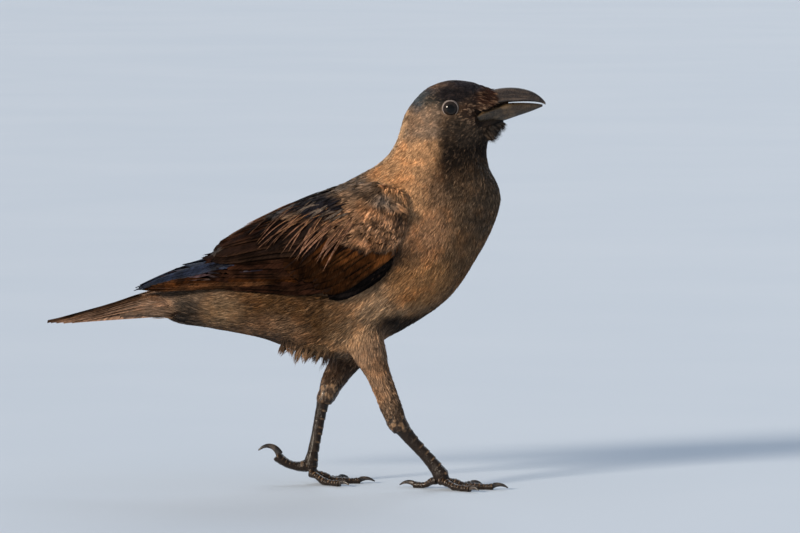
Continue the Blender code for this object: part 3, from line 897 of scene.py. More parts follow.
GUIDES = (
    Guide("nasal bristles", (143, 7, 286), (1, 0.12, -0.2), 7.5, 0.7, 0.55, 0.7, 0.35),
    Guide("nasal ridge", (139, 2, 291.5), (1, 0, 0), 5, 0.8, 0.6, 0.6, 0.2),
    Guide("forehead", (130, 0, 297), (-1, 0, 0.15), 3.4, 0.9, 0.62, 0.8, 0.1),
    Guide("crown", (113, 0, 299), (-1, 0, -0.1), 4.2, 1, 0.72, 0.9, 0.1),
    Guide("hind crown", (97, 0, 293), (-0.85, 0, -0.5), 5, 1.1, 0.8, 1.1, 0.15),
    Guide("nape", (84, 0, 279), (-0.4, 0, -0.92), 6, 1.3, 0.9, 1.6, 0.15),
    Guide("brow", (117, 13, 289), (-1, 0.15, 0.05), 3, 0.7, 0.55, 0.7, 0.1),
    Guide("lores", (133, 11, 279), (-0.95, 0.3, -0.05), 3.6, 0.36, 0.5, 0.6, 0.35),
    Guide("under the eye", (114, 16, 267), (-0.85, 0.2, -0.35), 4.2, 0.42, 0.56, 0.8, 0.35),
    Guide("behind the eye", (102, 18, 281), (-0.95, 0.2, -0.3), 3.6, 0.8, 0.6, 0.8, 0.1),
    Guide("gape", (142, 8, 268), (-0.9, 0.25, -0.35), 4, 0.36, 0.5, 0.7, 0.3),
    Guide("ear", (98, 18, 271), (-0.75, 0.1, -0.6), 5, 1, 0.75, 1, 0.15),
    Guide("jaw", (128, 13, 260), (-0.75, 0.1, -0.65), 5.6, 0.5, 0.66, 1, 0.4),
    Guide("chin", (150, 2, 261), (0.15, 0, -0.99), 4, 0.5, 0.6, 3.2, 0.1, True, 0.15),
    Guide("under the chin", (146, 3, 255), (0, 0, -1), 4.6, 0.6, 0.62, 2.6, 0.2, True, 0.2),
    Guide("throat", (145, 0, 246), (-0.15, 0, -0.99), 8.5, 0.8, 0.82, 1.8, 0.8),
    Guide("throat side", (128, 18, 244), (-0.4, 0.1, -0.92), 8.5, 0.8, 0.82, 1.8, 0.7),
    Guide("neck side", (102, 23, 250), (-0.45, 0.1, -0.88), 7, 1.4, 0.9, 1.8, 0.2),
    Guide("hindneck", (76, 0, 258), (-0.35, 0, -0.93), 7.5, 1.6, 0.95, 2, 0.2),
    Guide("neck base", (69, 18, 240), (-0.6, 0.2, -0.75), 8, 1.8, 1, 2.2, 0.3),
    Guide("lower throat", (150, 0, 222), (0, 0, -1), 9, 1.5, 0.95, 2.2, 0.6),
    Guide("crop", (145, 0, 190), (-0.25, 0, -0.97), 9, 1.8, 1.05, 2.4, 0.35),
    Guide("crop side", (125, 30, 205), (-0.35, 0.1, -0.93), 8.5, 1.8, 1.05, 2.4, 0.3),
    Guide("shoulder side", (98, 36, 216), (-0.5, 0.1, -0.85), 8, 1.8, 1, 2.4, 0.25),
    Guide("mantle", (52, 0, 230), (-0.88, 0, -0.47), 11, 2.2, 1.25, 2.6, 0.3),
    Guide("mantle side", (50, 24, 222), (-0.86, 0.1, -0.5), 10, 2.2, 1.2, 2.6, 0.3),
    Guide("back", (10, 0, 208), (-0.87, 0, -0.48), 13, 2.4, 1.4, 2.8, 0.3),
    Guide("rump", (-45, 0, 174), (-0.86, 0, -0.5), 14, 2.6, 1.6, 3, 0.3),
    Guide("upper tail coverts", (-80, 0, 152), (-0.93, 0, -0.35), 15, 2.6, 1.5, 2.2, 0.2),
    Guide("breast", (128, 0, 156), (-0.5, 0, -0.86), 10, 2, 1.15, 2.6, 0.4),
    Guide("breast side", (106, 38, 172), (-0.5, 0.05, -0.86), 9.5, 2, 1.1, 2.6, 0.4),
    Guide("low breast", (95, 0, 124), (-0.87, 0, -0.48), 10, 2, 1.15, 2.6, 0.4),
    Guide("low breast side", (80, 36, 138), (-0.72, 0.05, -0.68), 10.5, 2.1, 1.15, 2.6, 0.45),
    Guide("belly", (62, 0, 104), (-0.97, 0, -0.2), 11, 2.1, 1.25, 2.8, 0.6),
    Guide("belly side", (45, 38, 124), (-0.86, 0, -0.5), 12, 2.3, 1.25, 2.8, 0.5),
    Guide("flank", (10, 40, 128), (-0.9, 0, -0.42), 13, 2.4, 1.3, 3, 0.6),
    Guide("vent", (8, 6, 97), (-0.75, 0, -0.6), 11, 1.8, 1.1, 4.4, 0, True, 0.5),
    Guide("vent rear", (-14, 6, 104), (-0.93, 0, -0.35), 12, 2, 1.2, 4.4, 0, True, 0.5),
    Guide("rear flank", (-35, 32, 134), (-0.97, 0, -0.15), 14, 2.5, 1.4, 3, 0.4),
    Guide("undertail", (-68, 0, 118), (-0.97, 0, 0.2), 15, 2.6, 1.4, 2.6, 0.4),
    Guide("undertail side", (-65, 22, 134), (-0.98, 0, 0.1), 15, 2.6, 1.4, 2.6, 0.3),
    Guide("tail root", (-94, 0, 124), (-0.97, 0, 0.2), 24, 2.2, 1.1, 1.6, 0.2),
    Guide("tail root side", (-92, 12, 132), (-0.97, 0, 0.15), 24, 2.2, 1.1, 1.6, 0.2),
    Guide("right hip", (50, -32, 112), (0, 0, -1), 11, 1.8, 1.1, 2.4, 0.6, False),
    Guide("right thigh", (57, -30, 92), (0.15, 0, -0.98), 9, 1.4, 0.95, 1.9, 0.6, False),
    Guide("right calf", (68, -30, 68), (0.28, 0, -0.96), 6.5, 0.8, 0.85, 1, 1.2, False),
    Guide("right ankle", (76, -28, 50), (0.35, 0, -0.93), 5, 0.6, 0.8, 0.6, 0.6, False),
    Guide("left hip", (45, 30, 110), (-0.25, 0, -0.97), 11, 1.8, 1.1, 2.4, 0.6, False),
    Guide("left thigh", (34, 27, 88), (-0.45, 0, -0.89), 8, 1.3, 0.9, 1.8, 0.6, False),
    Guide("left calf", (27, 24, 76), (-0.4, 0, -0.92), 6, 1.1, 0.8, 1.3, 1.6, False),
    Guide("left ankle", (21, 20, 62), (-0.3, 0, -0.95), 3.6, 0.7, 0.6, 0.7, 0.2, False),
)


SHOULDER_GUIDES = (
    Guide("bend of the wing", (84, 42, 202), (-0.45, 0.15, -0.88), 6.5, 1.8, 1, 0.5, 1.5),
    Guide("front edge", (80, 44, 184), (-0.6, 0, -0.8), 7, 1.8, 1.1, 0.5, 1),
    Guide("lesser coverts", (60, 50, 194), (-0.62, 0.05, -0.78), 7, 2, 1.05, 0.7, 2.6),
    Guide("lesser coverts behind", (36, 52, 192), (-0.8, 0, -0.6), 9, 2, 1.15, 0.7, 2.2),
    Guide("mantle streaks", (52, 36, 216), (-0.9, 0, -0.42), 13, 1.8, 1.1, 1.2, 0.9),
    Guide("mantle edge", (20, 20, 213), (-0.88, 0, -0.46), 13, 1.9, 1.3, 1.6, 0.8),
    Guide("dark scapulars", (16, 34, 205), (-0.88, 0, -0.46), 12, 1.9, 1.3, 1.8, 0.8),
    Guide("grey fringe", (68, 40, 211), (-0.1, 0.05, -0.99), 9, 2, 1, 1.6, 2.4),
)


class Lie:
    """The field that the guides make over the whole bird."""

    numbers = ("length", "fan", "gap", "depth", "ruffle", "fill")
    blur = 40.0  # how softly one guide's reach passes into the next one's

    def __init__(self, guides: tuple[Guide, ...]) -> None:
        """Mirrors the paired guides and keeps their numbers.

        Args:
            guides: The guides, those on both sides of the bird given once.
        """
        rows = []
        for guide in guides:
            signs = (1, -1) if guide.paired and guide.place[1] else (1,)
            for sign in signs:
                place = (guide.place[0], guide.place[1] * sign, guide.place[2])
                way = (guide.way[0], guide.way[1] * sign, guide.way[2])
                numbers = (getattr(guide, name) for name in self.numbers)
                rows.append((*place, *unit(np.array(way)), *numbers))
        table = np.array(rows, float)
        self.places, self.values = table[:, :3], table[:, 3:]

    def at(self, places: Array) -> dict[str, Array]:
        """Blends the guides at many places.

        Args:
            places: Rows of x, y, z in millimetres.

        Returns:
            Arrays named way, length, fan, gap, depth, ruffle and fill.
        """
        away = np.linalg.norm(places[:, None] - self.places[None], axis=2)
        weights = 1 / (away**3 + self.blur)
        blended = weights @ self.values / weights.sum(1, keepdims=True)
        found = {name: blended[:, 3 + i] for i, name in enumerate(self.numbers)}
        return {"way": blended[:, :3], **found}


# ---- the skin


class Region(Enum):
    """What covers a stretch of skin."""

    HEAD = "head"
    NECK = "neck"
    TRUNK = "trunk"
    THIGH = "thigh"
    WING = "wing"
    TAIL = "tail"
    BILL = "bill"
    SHANK = "shank"


BARE = (Region.WING, Region.BILL, Region.SHANK)


@dataclass
class Skin:
    """One closed skin for head, neck, trunk, thighs and the folded wings' flesh."""

    voxel: float = 1.5
    swell: float = 0.35
    rounds: int = 3
    wing_depth: float = 3.4
    wall_share: float = 0.3  # of the local thickness, the most that the skin draws in
    rear_x: float = -128.0  # the skin ends under the feathers of the tail
    front_x: float = 156.0  # and inside the bill
    horn_depth: float = 3.6  # how much deeper the skin lies under the horn of the bill
    shank_reach: float = 5.0  # how far the skin runs on inside the shanks
    unwrap_angle: float = math.radians(66)
    unwrap_gap: float = 0.002
    inner: Surface = field(init=False)
    regions: list[Region] = field(init=False)
    patches: Array = field(init=False)

    def build(self, lie: Lie) -> Object:
        """Fuses the flesh, draws it in by the coat's depth and unwraps it.

        Args:
            lie: The field that says how deep the coat is.

        Returns:
            The skin's object.
        """
        bm = fused((*FLESH, *EYES, *WING_FLESH, *BILLS, *SHANKS, "tail"), self.voxel, self.swell)
        relax(bm, self.rounds)
        bm.normal_update()
        places = np.array([v.co for v in bm.verts]) / MM
        normals = np.array([v.normal for v in bm.verts])
        depth = lie.at(places)["depth"] + self.swell
        labels = self.nearest_nodes(places)
        depth = np.where([label.startswith("wing") for label in labels], self.wing_depth, depth)
        depth += self.horn_depth * smoothstep(-1.2, 0.8, depth_inside(places[:, [0, 2]], HORN_SIDE))
        depth = np.minimum(depth, self.wall_share * self.walls(bm))
        for vert, place in zip(bm.verts, (places - normals * depth[:, None]) * MM):
            vert.co = place
        relax(bm, 2)
        self.trim(bm, (self.rear_x, 0, 0), (-1, 0, 0))
        self.trim(bm, (self.front_x, 0, 0), (1, 0, 0))
        for side in Side:
            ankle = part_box(f"thigh_{side.label}")[0].z / MM
            self.trim(bm, (0, 0, ankle - self.shank_reach), (0, 0, -1), side)
        bmesh.ops.triangulate(bm, faces=bm.faces)
        bmesh.ops.recalc_face_normals(bm, faces=bm.faces)
        self.inner = Surface(bm)
        skin = to_object("skin", bm)
        self.unwrap(skin)
        centres = self.inner.points[self.inner.corners].mean(1)
        self.regions = [self.region_of(label) for label in self.nearest_nodes(centres)]
        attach(skin, "root")
        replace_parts(skin, *FLESH)
        return skin

    def trim(self, bm: BMesh, place: Triple, beyond: Triple, side: Side | None = None) -> None:
        """Cuts away what lies beyond a plane, and closes the cut.

        Args:
            bm: The skin.
            place: A point of the plane.
            beyond: The way out from what is kept.
            side: The side of the bird that is cut, or nothing for both.
        """
        kept = [f for f in bm.faces if side is None or f.calc_center_median().y * side.value > 0]
        parts = dict.fromkeys(part for face in kept for part in (*face.verts, *face.edges, face))
        bmesh.ops.bisect_plane(bm, geom=list(parts), dist=CUT_SLACK, plane_co=Vector(place) * MM,
                               plane_no=beyond, clear_outer=True)
        bmesh.ops.holes_fill(bm, edges=[e for e in bm.edges if e.is_boundary])

    def walls(self, bm: BMesh) -> Array:
        """Measures how thick the form is straight inwards from each vertex.

        Args:
            bm: The form.

        Returns:
            The thicknesses in millimetres, or zero where there is none.
        """
        tree = BVHTree.FromBMesh(bm)
        found = []
        for vert in bm.verts:
            hit = tree.ray_cast(vert.co - vert.normal * 0.2 * MM, -vert.normal)
            found.append(hit[3] / MM if hit[0] is not None else 0.0)
        return np.array(found)

    def nearest_nodes(self, places: Array) -> list[str]:
        """Finds the CAD node nearest to each place.

        Args:
            places: The places.

        Returns:
            The nodes' names.
        """
        whole, labels = joined((*FLESH, *WING_FLESH, *BILLS, *SHANKS, "tail"))
        tree = BVHTree.FromBMesh(whole)
        whole.free()
        return [labels[tree.find_nearest(Vector(place) * MM)[2]] for place in places.tolist()]

    def region_of(self, label: str) -> Region:
        """The region that a CAD node belongs to."""
        return Region(label.split("_")[0])

    def patches_at(self, places: Array) -> Array:
        """The place on the skin's unwrap nearest to each place over the skin."""
        _, faces, weights = self.inner.touched(places)
        return (self.patches[faces] * weights / weights.sum(1, keepdims=True)).sum(1)

    def unwrap(self, skin: Object) -> None:
        """Unwraps the skin, and keeps each triangle's corners on the unwrap.

        Args:
            skin: The skin's object, which is made of triangles.
        """
        bpy.context.view_layer.objects.active = skin
        skin.select_set(True)
        bpy.ops.object.mode_set(mode="EDIT")
        bpy.ops.mesh.select_all(action="SELECT")
        bpy.ops.uv.smart_project(angle_limit=self.unwrap_angle, island_margin=self.unwrap_gap)
        bpy.ops.object.mode_set(mode="OBJECT")
        skin.select_set(False)
        flat = np.zeros(len(skin.data.loops) * 2, np.float32)
        skin.data.uv_layers.active.data.foreach_get("uv", flat)
        self.patches = flat.reshape(-1, 3, 2)


# ---- blades laid along spines


class Blade:
    """A small mesh in the plane of a feather: x across from -1 to 1, y along, z its rise."""

    cell_shape = 3  # how many times longer than wide a feather is, roughly
    cell_rim = 0.05  # the free part of a cell at each of its sides

    def __init__(self, bm: BMesh) -> None:
        """Reads the blade's points and faces.

        Args:
            bm: The blade, which is freed.
        """
        self.points = np.array([v.co for v in bm.verts])
        self.faces = [[v.index for v in f.verts] for f in bm.faces]
        self.triangles = sum(len(face) - 2 for face in self.faces)
        bm.free()

    def bake_cells(self, count: int) -> Array:
        """Gives each of several copies its own cell of the bake map, side by side in rows.

        Args:
            count: How many copies there are.

        Returns:
            The place in the bake map of each point of each copy.
        """
        columns = math.ceil(math.sqrt(count * self.cell_shape))
        rows = math.ceil(count / columns)
        index = np.arange(count)
        corner = np.stack([index % columns / columns, index // columns / rows], 1)
        across, along, _ = self.points.T
        inside = np.stack([across / 2 + 0.5, along], 1) * (1 - 2 * self.cell_rim) + self.cell_rim
        return corner[:, None] + inside[None] * np.array([1 / columns, 1 / rows])


def strand_blade() -> Blade:
    """Makes a narrow strand.

    Returns:
        The blade: one quad and a pointed tip.
    """
    bm = bmesh.new()
    bmesh.ops.create_grid(bm, x_segments=1, y_segments=2, size=1.0)
    for vert in bm.verts:
        vert.co.y = (vert.co.y + 1) / 2
        vert.co.x *= 0.85 if vert.co.y < 0.25 else 1.0
        if vert.co.y > 0.75:
            vert.co.x = 0
    bmesh.ops.remove_doubles(bm, verts=bm.verts, dist=1e-6)
    bm.verts.index_update()
    return Blade(bm)


def leaf_blade(across: int, rows: int, blunt: float, point: float, camber: float,
               thickness: float = 0.0) -> Blade:
    """Makes a whole feather's outline.

    Args:
        across: Faces from edge to edge.
        rows: Faces from quill to tip.
        blunt: Where the rounding of the tip begins, from 0 to 1.
        point: How the tip narrows: 0.5 makes it round, 1 a spike.
        camber: How far the edges lie under the shaft, in units of the rise.
        thickness: The blade's own thickness, in units of the rise; 0 leaves it a sheet.

    Returns:
        The blade.
    """
    bm = bmesh.new()
    bmesh.ops.create_grid(bm, x_segments=across, y_segments=rows, size=1.0)
    for vert in bm.verts:
        share = (vert.co.y + 1) / 2
        share = 1 - (1 - share) ** 1.35
        root = min(1.0, 0.30 + 2.9 * share)
        tip = max(0.0, 1 - (max(0.0, share - blunt) / (1 - blunt)) ** 2.2) ** point
        vert.co.z = -camber * vert.co.x ** 2
        vert.co.x *= max(root * tip, 0.02)
        vert.co.y = share
    if thickness:
        bmesh.ops.recalc_face_normals(bm, faces=bm.faces)
        bmesh.ops.solidify(bm, geom=bm.faces[:], thickness=thickness)
    bm.normal_update()
    bm.verts.index_update()
    return Blade(bm)


@dataclass
class Spines:
    """Centre lines that blades are laid along, with the outward way at each knot."""

    knots: Array
    normals: Array

    def sides(self) -> Array:
        """The way across each spine at each knot, to its right as it runs."""
        return unit(np.cross(np.gradient(self.knots, axis=1), self.normals))

    def at(self, spine: Array, share: Array) -> tuple[Array, Array, Array]:
        """Reads the spines.

        Args:
            spine: The spine that each reading is on.
            share: How far along its spine each reading is, from 0 to 1.

        Returns:
            The points, and the ways outwards and sideways there.
        """
        return (along_spines(self.knots, spine, share),
                unit(along_spines(self.normals, spine, share)),
                unit(along_spines(self.sides(), spine, share)))

    @classmethod
    def marched(cls, surface: Surface, roots: Array, ways: Array, lengths: Array,
                knots: int = 4) -> "Spines":
        """Lays spines over a surface from their roots.

        Args:
            surface: The surface.
            roots: The first points.
            ways: The ways in which they set out.
            lengths: Their lengths.
            knots: Points on each spine.

        Returns:
            The spines, on the surface.
        """
        points, normals = surface.nearest(roots)
        found, outward = [points], [normals]
        step = (lengths / (knots - 1))[:, None]
        heading = ways
        for _ in range(knots - 1):
            heading = unit(heading - normals * (heading * normals).sum(1, keepdims=True))
            points, normals = surface.nearest(points + heading * step)
            found.append(points)
            outward.append(normals)
        return cls(np.stack(found, 1), np.stack(outward, 1))


SHARED_SHADE = 0.75  # of a tuft's shade, the part that it has from its leader


def clumped(spines: Spines, share: float | Array, pull: float,
            rng: Generator) -> tuple[Spines, Array]:
    """Draws the tips of neighbouring tufts together, as in damp plumage.

    Args:
        spines: The tufts' centre lines.
        share: Which share of the tufts others are drawn to, for all or for each.
        pull: How far tips move there, from 0 to 1.
        rng: The source of chance.

    Returns:
        The drawn lines, and a shade for each tuft that its neighbours mostly share.
    """
    roots = spines.knots[:, 0]
    leaders = np.flatnonzero(rng.random(len(roots)) < share)
    shades = rng.random(len(roots))
    if not len(leaders):
        return spines, shades
    tree = KDTree(len(leaders))
    for leader in leaders.tolist():
        tree.insert(roots[leader], leader)
    tree.balance()
    nearest = np.array([tree.find(root)[1] for root in roots.tolist()])
    steps = np.linspace(0, 1, spines.knots.shape[1])[None, :, None]
    drawn = spines.knots + (spines.knots[nearest] - spines.knots) * pull * steps
    mixed = SHARED_SHADE * shades[nearest] + (1 - SHARED_SHADE) * shades
    return Spines(drawn, spines.normals), mixed


@dataclass
class Laid:
    """Points, faces and numbers of many copies of one blade, ready to become a piece."""

    points: Array
    blade: Blade
    numbers: dict[str, Array]
    bake: Array

    def piece(self, name: str, material: Material, slot: str) -> Object:
        """Makes the joined mesh.

        Args:
            name: The piece's name.
            material: Its finish.
            slot: Not used.

        Returns:
            The object, which rides on the root body.
        """
        copies, per_blade = self.points.shape[:2]
        sizes = np.array([len(face) for face in self.blade.faces])
        flat = np.concatenate([np.array(face) for face in self.blade.faces])
        loops = (flat[None] + np.arange(copies)[:, None] * per_blade).ravel()
        mesh = bpy.data.meshes.new(name)
        mesh.vertices.add(copies * per_blade)
        mesh.vertices.foreach_set("co", (self.points * MM).astype(np.float32).ravel())
        mesh.loops.add(len(loops))
        mesh.loops.foreach_set("vertex_index", loops.astype(np.int32))
        all_sizes = np.tile(sizes, copies)
        mesh.polygons.add(len(all_sizes))
        mesh.polygons.foreach_set("loop_start", (np.cumsum(all_sizes) - all_sizes).astype(np.int32))
        mesh.update(calc_edges=True)
        layer = mesh.uv_layers.new(name=BAKE_MAP)
        layer.data.foreach_set("uv", self.bake[:, flat].astype(np.float32).ravel())
        for label, values in self.numbers.items():
            kind = "FLOAT" if values.ndim == 2 else "FLOAT_VECTOR"
            made = mesh.attributes.new(label, kind, "POINT")
            key = "value" if kind == "FLOAT" else "vector"
            made.data.foreach_set(key, values.astype(np.float32).ravel())
        mesh.validate()
        mesh.shade_smooth()
        made = bpy.data.objects.new(name, mesh)
        bpy.context.scene.collection.objects.link(made)
        dress(made, material)
        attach(made, "root")
        LOG.info("%s: %d blades, %d triangles", name, copies, copies * self.blade.triangles)
        return made


# ---- the coat of small feathers


# Height at which the feathers of each thigh end, and bare skin begins.
FEATHER_ENDS = {Side.RIGHT: 53.0, Side.LEFT: 73.0}


@dataclass(frozen=True)
class Fan:
    """How the strands of a tuft are made.

    Attributes:
        strands: How many a tuft has.
        width: Half the width of a strand in a tuft of middling size.
    """

    strands: int = 6
    width: float = 0.30
    root_spread: float = 0.45  # of the guide's fan, at the strands' roots
    root_stray: float = 0.12
    tip_spread: float = 0.75  # and at their tips
    tip_stray: float = 0.3
    lengths: Pair = (0.72, 1.0)  # shares of the tuft's length
    widths: Pair = (0.75, 1.3)
    roll: float = 0.5  # how much strands turn about their own length
    depths: Pair = (0.72, 1.05)  # shares of the coat's depth
    root_dip: float = 0.25  # how far roots reach into the skin
    lowest: float = 0.1  # strands stay this far above the floor

    def laid(self, spines: Spines, growth: dict[str, Array], places: Array,
             rng: Generator) -> Laid:
        """Lays a fan of strands along each spine.

        Args:
            spines: One spine for each tuft.
            growth: What the guides say at each root.
            places: Each tuft's place in the bake map.
            rng: The source of chance.

        Returns:
            The strands.
        """
        blade = strand_blade()
        tufts, per_tuft = len(places), self.strands
        spine = np.repeat(np.arange(tufts), per_tuft)
        number = np.tile(np.arange(per_tuft), tufts)
        spot = (number + 0.5) / per_tuft * 2 - 1
        reach = growth["fan"][spine]
        root_out = (spot * self.root_spread + rng.normal(0, self.root_stray, len(spine))) * reach
        tip_out = (spot * self.tip_spread + rng.normal(0, self.tip_stray, len(spine))) * reach
        long = rng.uniform(*self.lengths, len(spine)) * (1 - 0.12 * spot**2)
        scale = growth["gap"][spine]
        width = self.width * (0.45 + 0.62 * scale) * rng.uniform(*self.widths, len(spine))
        roll = rng.normal(0, self.roll, len(spine))
        depth = (growth["depth"] * growth["fill"])[spine] * rng.uniform(*self.depths, len(spine))
        lift = depth + growth["ruffle"][spine] * rng.uniform(0.0, 1.0, len(spine)) ** 2
        across, along = blade.points[:, 0], blade.points[:, 1]
        share = along[None] * long[:, None]
        centre, outward, side = spines.at(np.repeat(spine, len(along)), share.ravel())
        out = root_out[:, None] * (1 - along) + tip_out[:, None] * along
        half = across[None] * width[:, None]
        sideways = (out + half * np.cos(roll)[:, None]).reshape(-1, 1)
        settle = 1 - (1 - along) ** 2.2
        rise = lift[:, None] * settle - self.root_dip * (1 - along) + half * np.sin(roll)[:, None]
        rise = rise.reshape(-1, 1)
        points = (centre + side * sideways + outward * rise).reshape(len(spine), -1, 3)
        points[:, :, 2] = np.maximum(points[:, :, 2], self.lowest)
        patch_x = ((number[:, None] + (across[None] + 1) / 2) / per_tuft - 0.5) * PATCH
        patch = np.stack([patch_x, np.broadcast_to((along - 0.5) * PATCH, patch_x.shape)], 2)
        numbers = {
            "along": np.broadcast_to(along, share.shape),
            "tuft": np.repeat(growth["shade"][spine][:, None], len(along), 1),
            "strand": np.repeat(rng.random(len(spine))[:, None], len(along), 1),
        }
        return Laid(points, blade, numbers, patch + places[spine][:, None])


@dataclass(frozen=True)
class Disorder:
    """How unevenly tufts grow.

    Attributes:
        stray: How much their directions vary.
        lengths: The shortest and the longest, as shares of what the guides say.
        pull: How far their tips are drawn to those of leading tufts.
        leaders: The leading tufts' share, or 0 where each leads an area of its own.
    """

    stray: float
    lengths: Pair
    pull: float
    leaders: float = 0.0


@dataclass
class Coat:
    """Tufts of fine strands over head, neck, trunk and thighs, and over the wings' shoulders."""

    skin: Skin
    lie: Lie
    finish: Material
    ragged: Material
    fan: Fan = Fan()
    smooth: Disorder = Disorder(0.11, (0.72, 1.18), 0.45)
    loose: Disorder = Disorder(0.2, (0.6, 1.25), 0.6, 0.2)
    leader_area: float = 1.2  # square millimetres
    eye_clearance: float = 6.75
    tip_clearance: float = 6.05
    eye_depth: float = 9.0  # across the head, what counts as beside an eye
    rear_x: float = -94.0  # the last roots over the tail's base
    horn_margin: float = -0.4
    seed: int = 11
    share: float = 1.0

    def body(self) -> None:
        """Lays the coat of the body and splits it into pieces by region."""
        rng = np.random.default_rng(self.seed)
        surface = self.skin.inner
        centres = surface.points[surface.corners].mean(1)
        bare = np.array([region in BARE or (region is Region.TAIL and centre[0] < self.rear_x)
                         for region, centre in zip(self.skin.regions, centres)])
        for side, height in FEATHER_ENDS.items():
            bare |= (centres[:, 2] < height) & (centres[:, 1] * side.value > 0)
        gaps = self.lie.at(centres)["gap"]
        roots, faces, weights = surface.scatter(gaps, bare, self.share, rng)
        places = (self.skin.patches[faces] * weights).sum(1)
        regions = np.array([list(Region).index(region) for region in self.skin.regions])[faces]
        clear = self.clear_of_eyes(roots, self.eye_clearance)
        clear &= depth_inside(roots[:, [0, 2]], HORN_SIDE) < self.horn_margin
        roots, places, regions = roots[clear], places[clear], regions[clear]
        spines, growth = self.grown(surface, self.lie, roots, self.smooth, rng)
        clear = self.clear_of_eyes(spines.knots[:, -1], self.tip_clearance)
        for index, region in enumerate(Region):
            chosen = np.flatnonzero(clear & (regions == index))
            name = f"small_feathers_{region.value}"
            self.pieces(name, self.finish, chosen, spines, growth, places, rng)

    def shoulder(self, side: Side, surface: Surface, lie: Lie) -> None:
        """Lays ragged tufts over the upper part of a wing.

        Args:
            side: The wing's side.
            surface: The wing's outer surface.
            lie: How they grow there.
        """
        rng = np.random.default_rng(self.seed + 2 + side.value)
        centres = surface.points[surface.corners].mean(1)
        bare = depth_inside(centres[:, [0, 2]], SHOULDER) < 0
        roots, _, _ = surface.scatter(lie.at(centres)["gap"], bare, self.share, rng)
        spines, growth = self.grown(surface, lie, roots, self.loose, rng)
        places = self.skin.patches_at(roots)
        name = f"shoulder_feathers_{side.label}"
        self.pieces(name, self.ragged, np.arange(len(roots)), spines, growth, places, rng)

    def grown(self, surface: Surface, lie: Lie, roots: Array, disorder: Disorder,
              rng: Generator) -> tuple[Spines, dict[str, Array]]:
        """Grows a tuft's centre line from each root.

        Args:
            surface: What they follow.
            lie: How they grow there.
            roots: Their roots.
            disorder: How unevenly they grow.
            rng: The source of chance.

        Returns:
            The lines, and what the guides say at each root together with each tuft's shade.
        """
        growth = lie.at(roots)
        way = unit(growth["way"]) + rng.normal(0, disorder.stray, roots.shape)
        length = growth["length"] * rng.uniform(*disorder.lengths, len(roots))
        leaders = disorder.leaders or growth["gap"] ** 2 / self.leader_area
        spines = Spines.marched(surface, roots, way, length)
        spines, growth["shade"] = clumped(spines, leaders, disorder.pull, rng)
        return spines, growth

    def clear_of_eyes(self, places: Array, distance: float) -> Array:
        """Tells which places leave both eyes free.

        Args:
            places: The places.
            distance: How far from each eye's middle they have to be in the side view.

        Returns:
            Whether each place is that far away.
        """
        clear = np.ones(len(places), bool)
        for name in EYES:
            eye = sum(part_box(name), Vector()) / 2 / MM
            beside = np.abs(places[:, 1] - eye.y) < self.eye_depth
            clear &= ~(beside & (np.hypot(places[:, 0] - eye.x, places[:, 2] - eye.z) < distance))
        return clear

    def pieces(self, name: str, finish: Material, chosen: Array, spines: Spines,
               growth: dict[str, Array], places: Array, rng: Generator) -> None:
        """Lays the chosen tufts, in as many pieces as keep each one light.

        Args:
            name: The pieces' name, which gets a number.
            finish: Their finish.
            chosen: The tufts' indices.
            spines: All tufts' centre lines.
            growth: What the guides say at all roots.
            places: All tufts' places in the bake map.
            rng: The source of chance.
        """
        parts = max(1, math.ceil(len(chosen) * self.fan.strands * 3 / PIECE_TRIANGLES))
        order = chosen[np.argsort(spines.knots[chosen, 0, 0], kind="stable")]
        for part, group in enumerate(np.array_split(order, parts)):
            if len(group):
                laid = self.fan.laid(Spines(spines.knots[group], spines.normals[group]),
                                     {key: values[group] for key, values in growth.items()},
                                     places[group], rng)
                laid.piece(f"{name}_{part + 1}", finish, "body_feathers")


@dataclass(frozen=True)
class BristlePatch:
    """Stiff bristles or loose tufts that grow in one place over the coat.

    Attributes:
        name: The patch's name.
        outline: Where their roots are, as x and z in the side view.
        count: Tufts on each side.
        way: The direction in which they point on the left side.
        stray: How much the direction varies.
        length: Their shortest and longest.
        stand: How far they leave the surface; 0 makes them follow it.
        limit: How far forward tips may reach, as pairs of z and x, or nothing.
        form: The CAD nodes that they grow on.
        sides: The sides of the bird that have them.
        width: Half the width of a bristle.
        clump: Share of leading tufts, and how far the others are drawn to them.
    """

    name: str
    outline: tuple[Pair, ...]
    count: int
    way: Triple
    stray: float
    length: Pair
    stand: float = 0.0
    limit: tuple[Pair, ...] = ()
    form: tuple[str, ...] = ("head", *BILLS)
    sides: tuple[Side, ...] = (Side.LEFT, Side.RIGHT)
    width: float = 0.19
    clump: Pair = (0.3, 0.3)


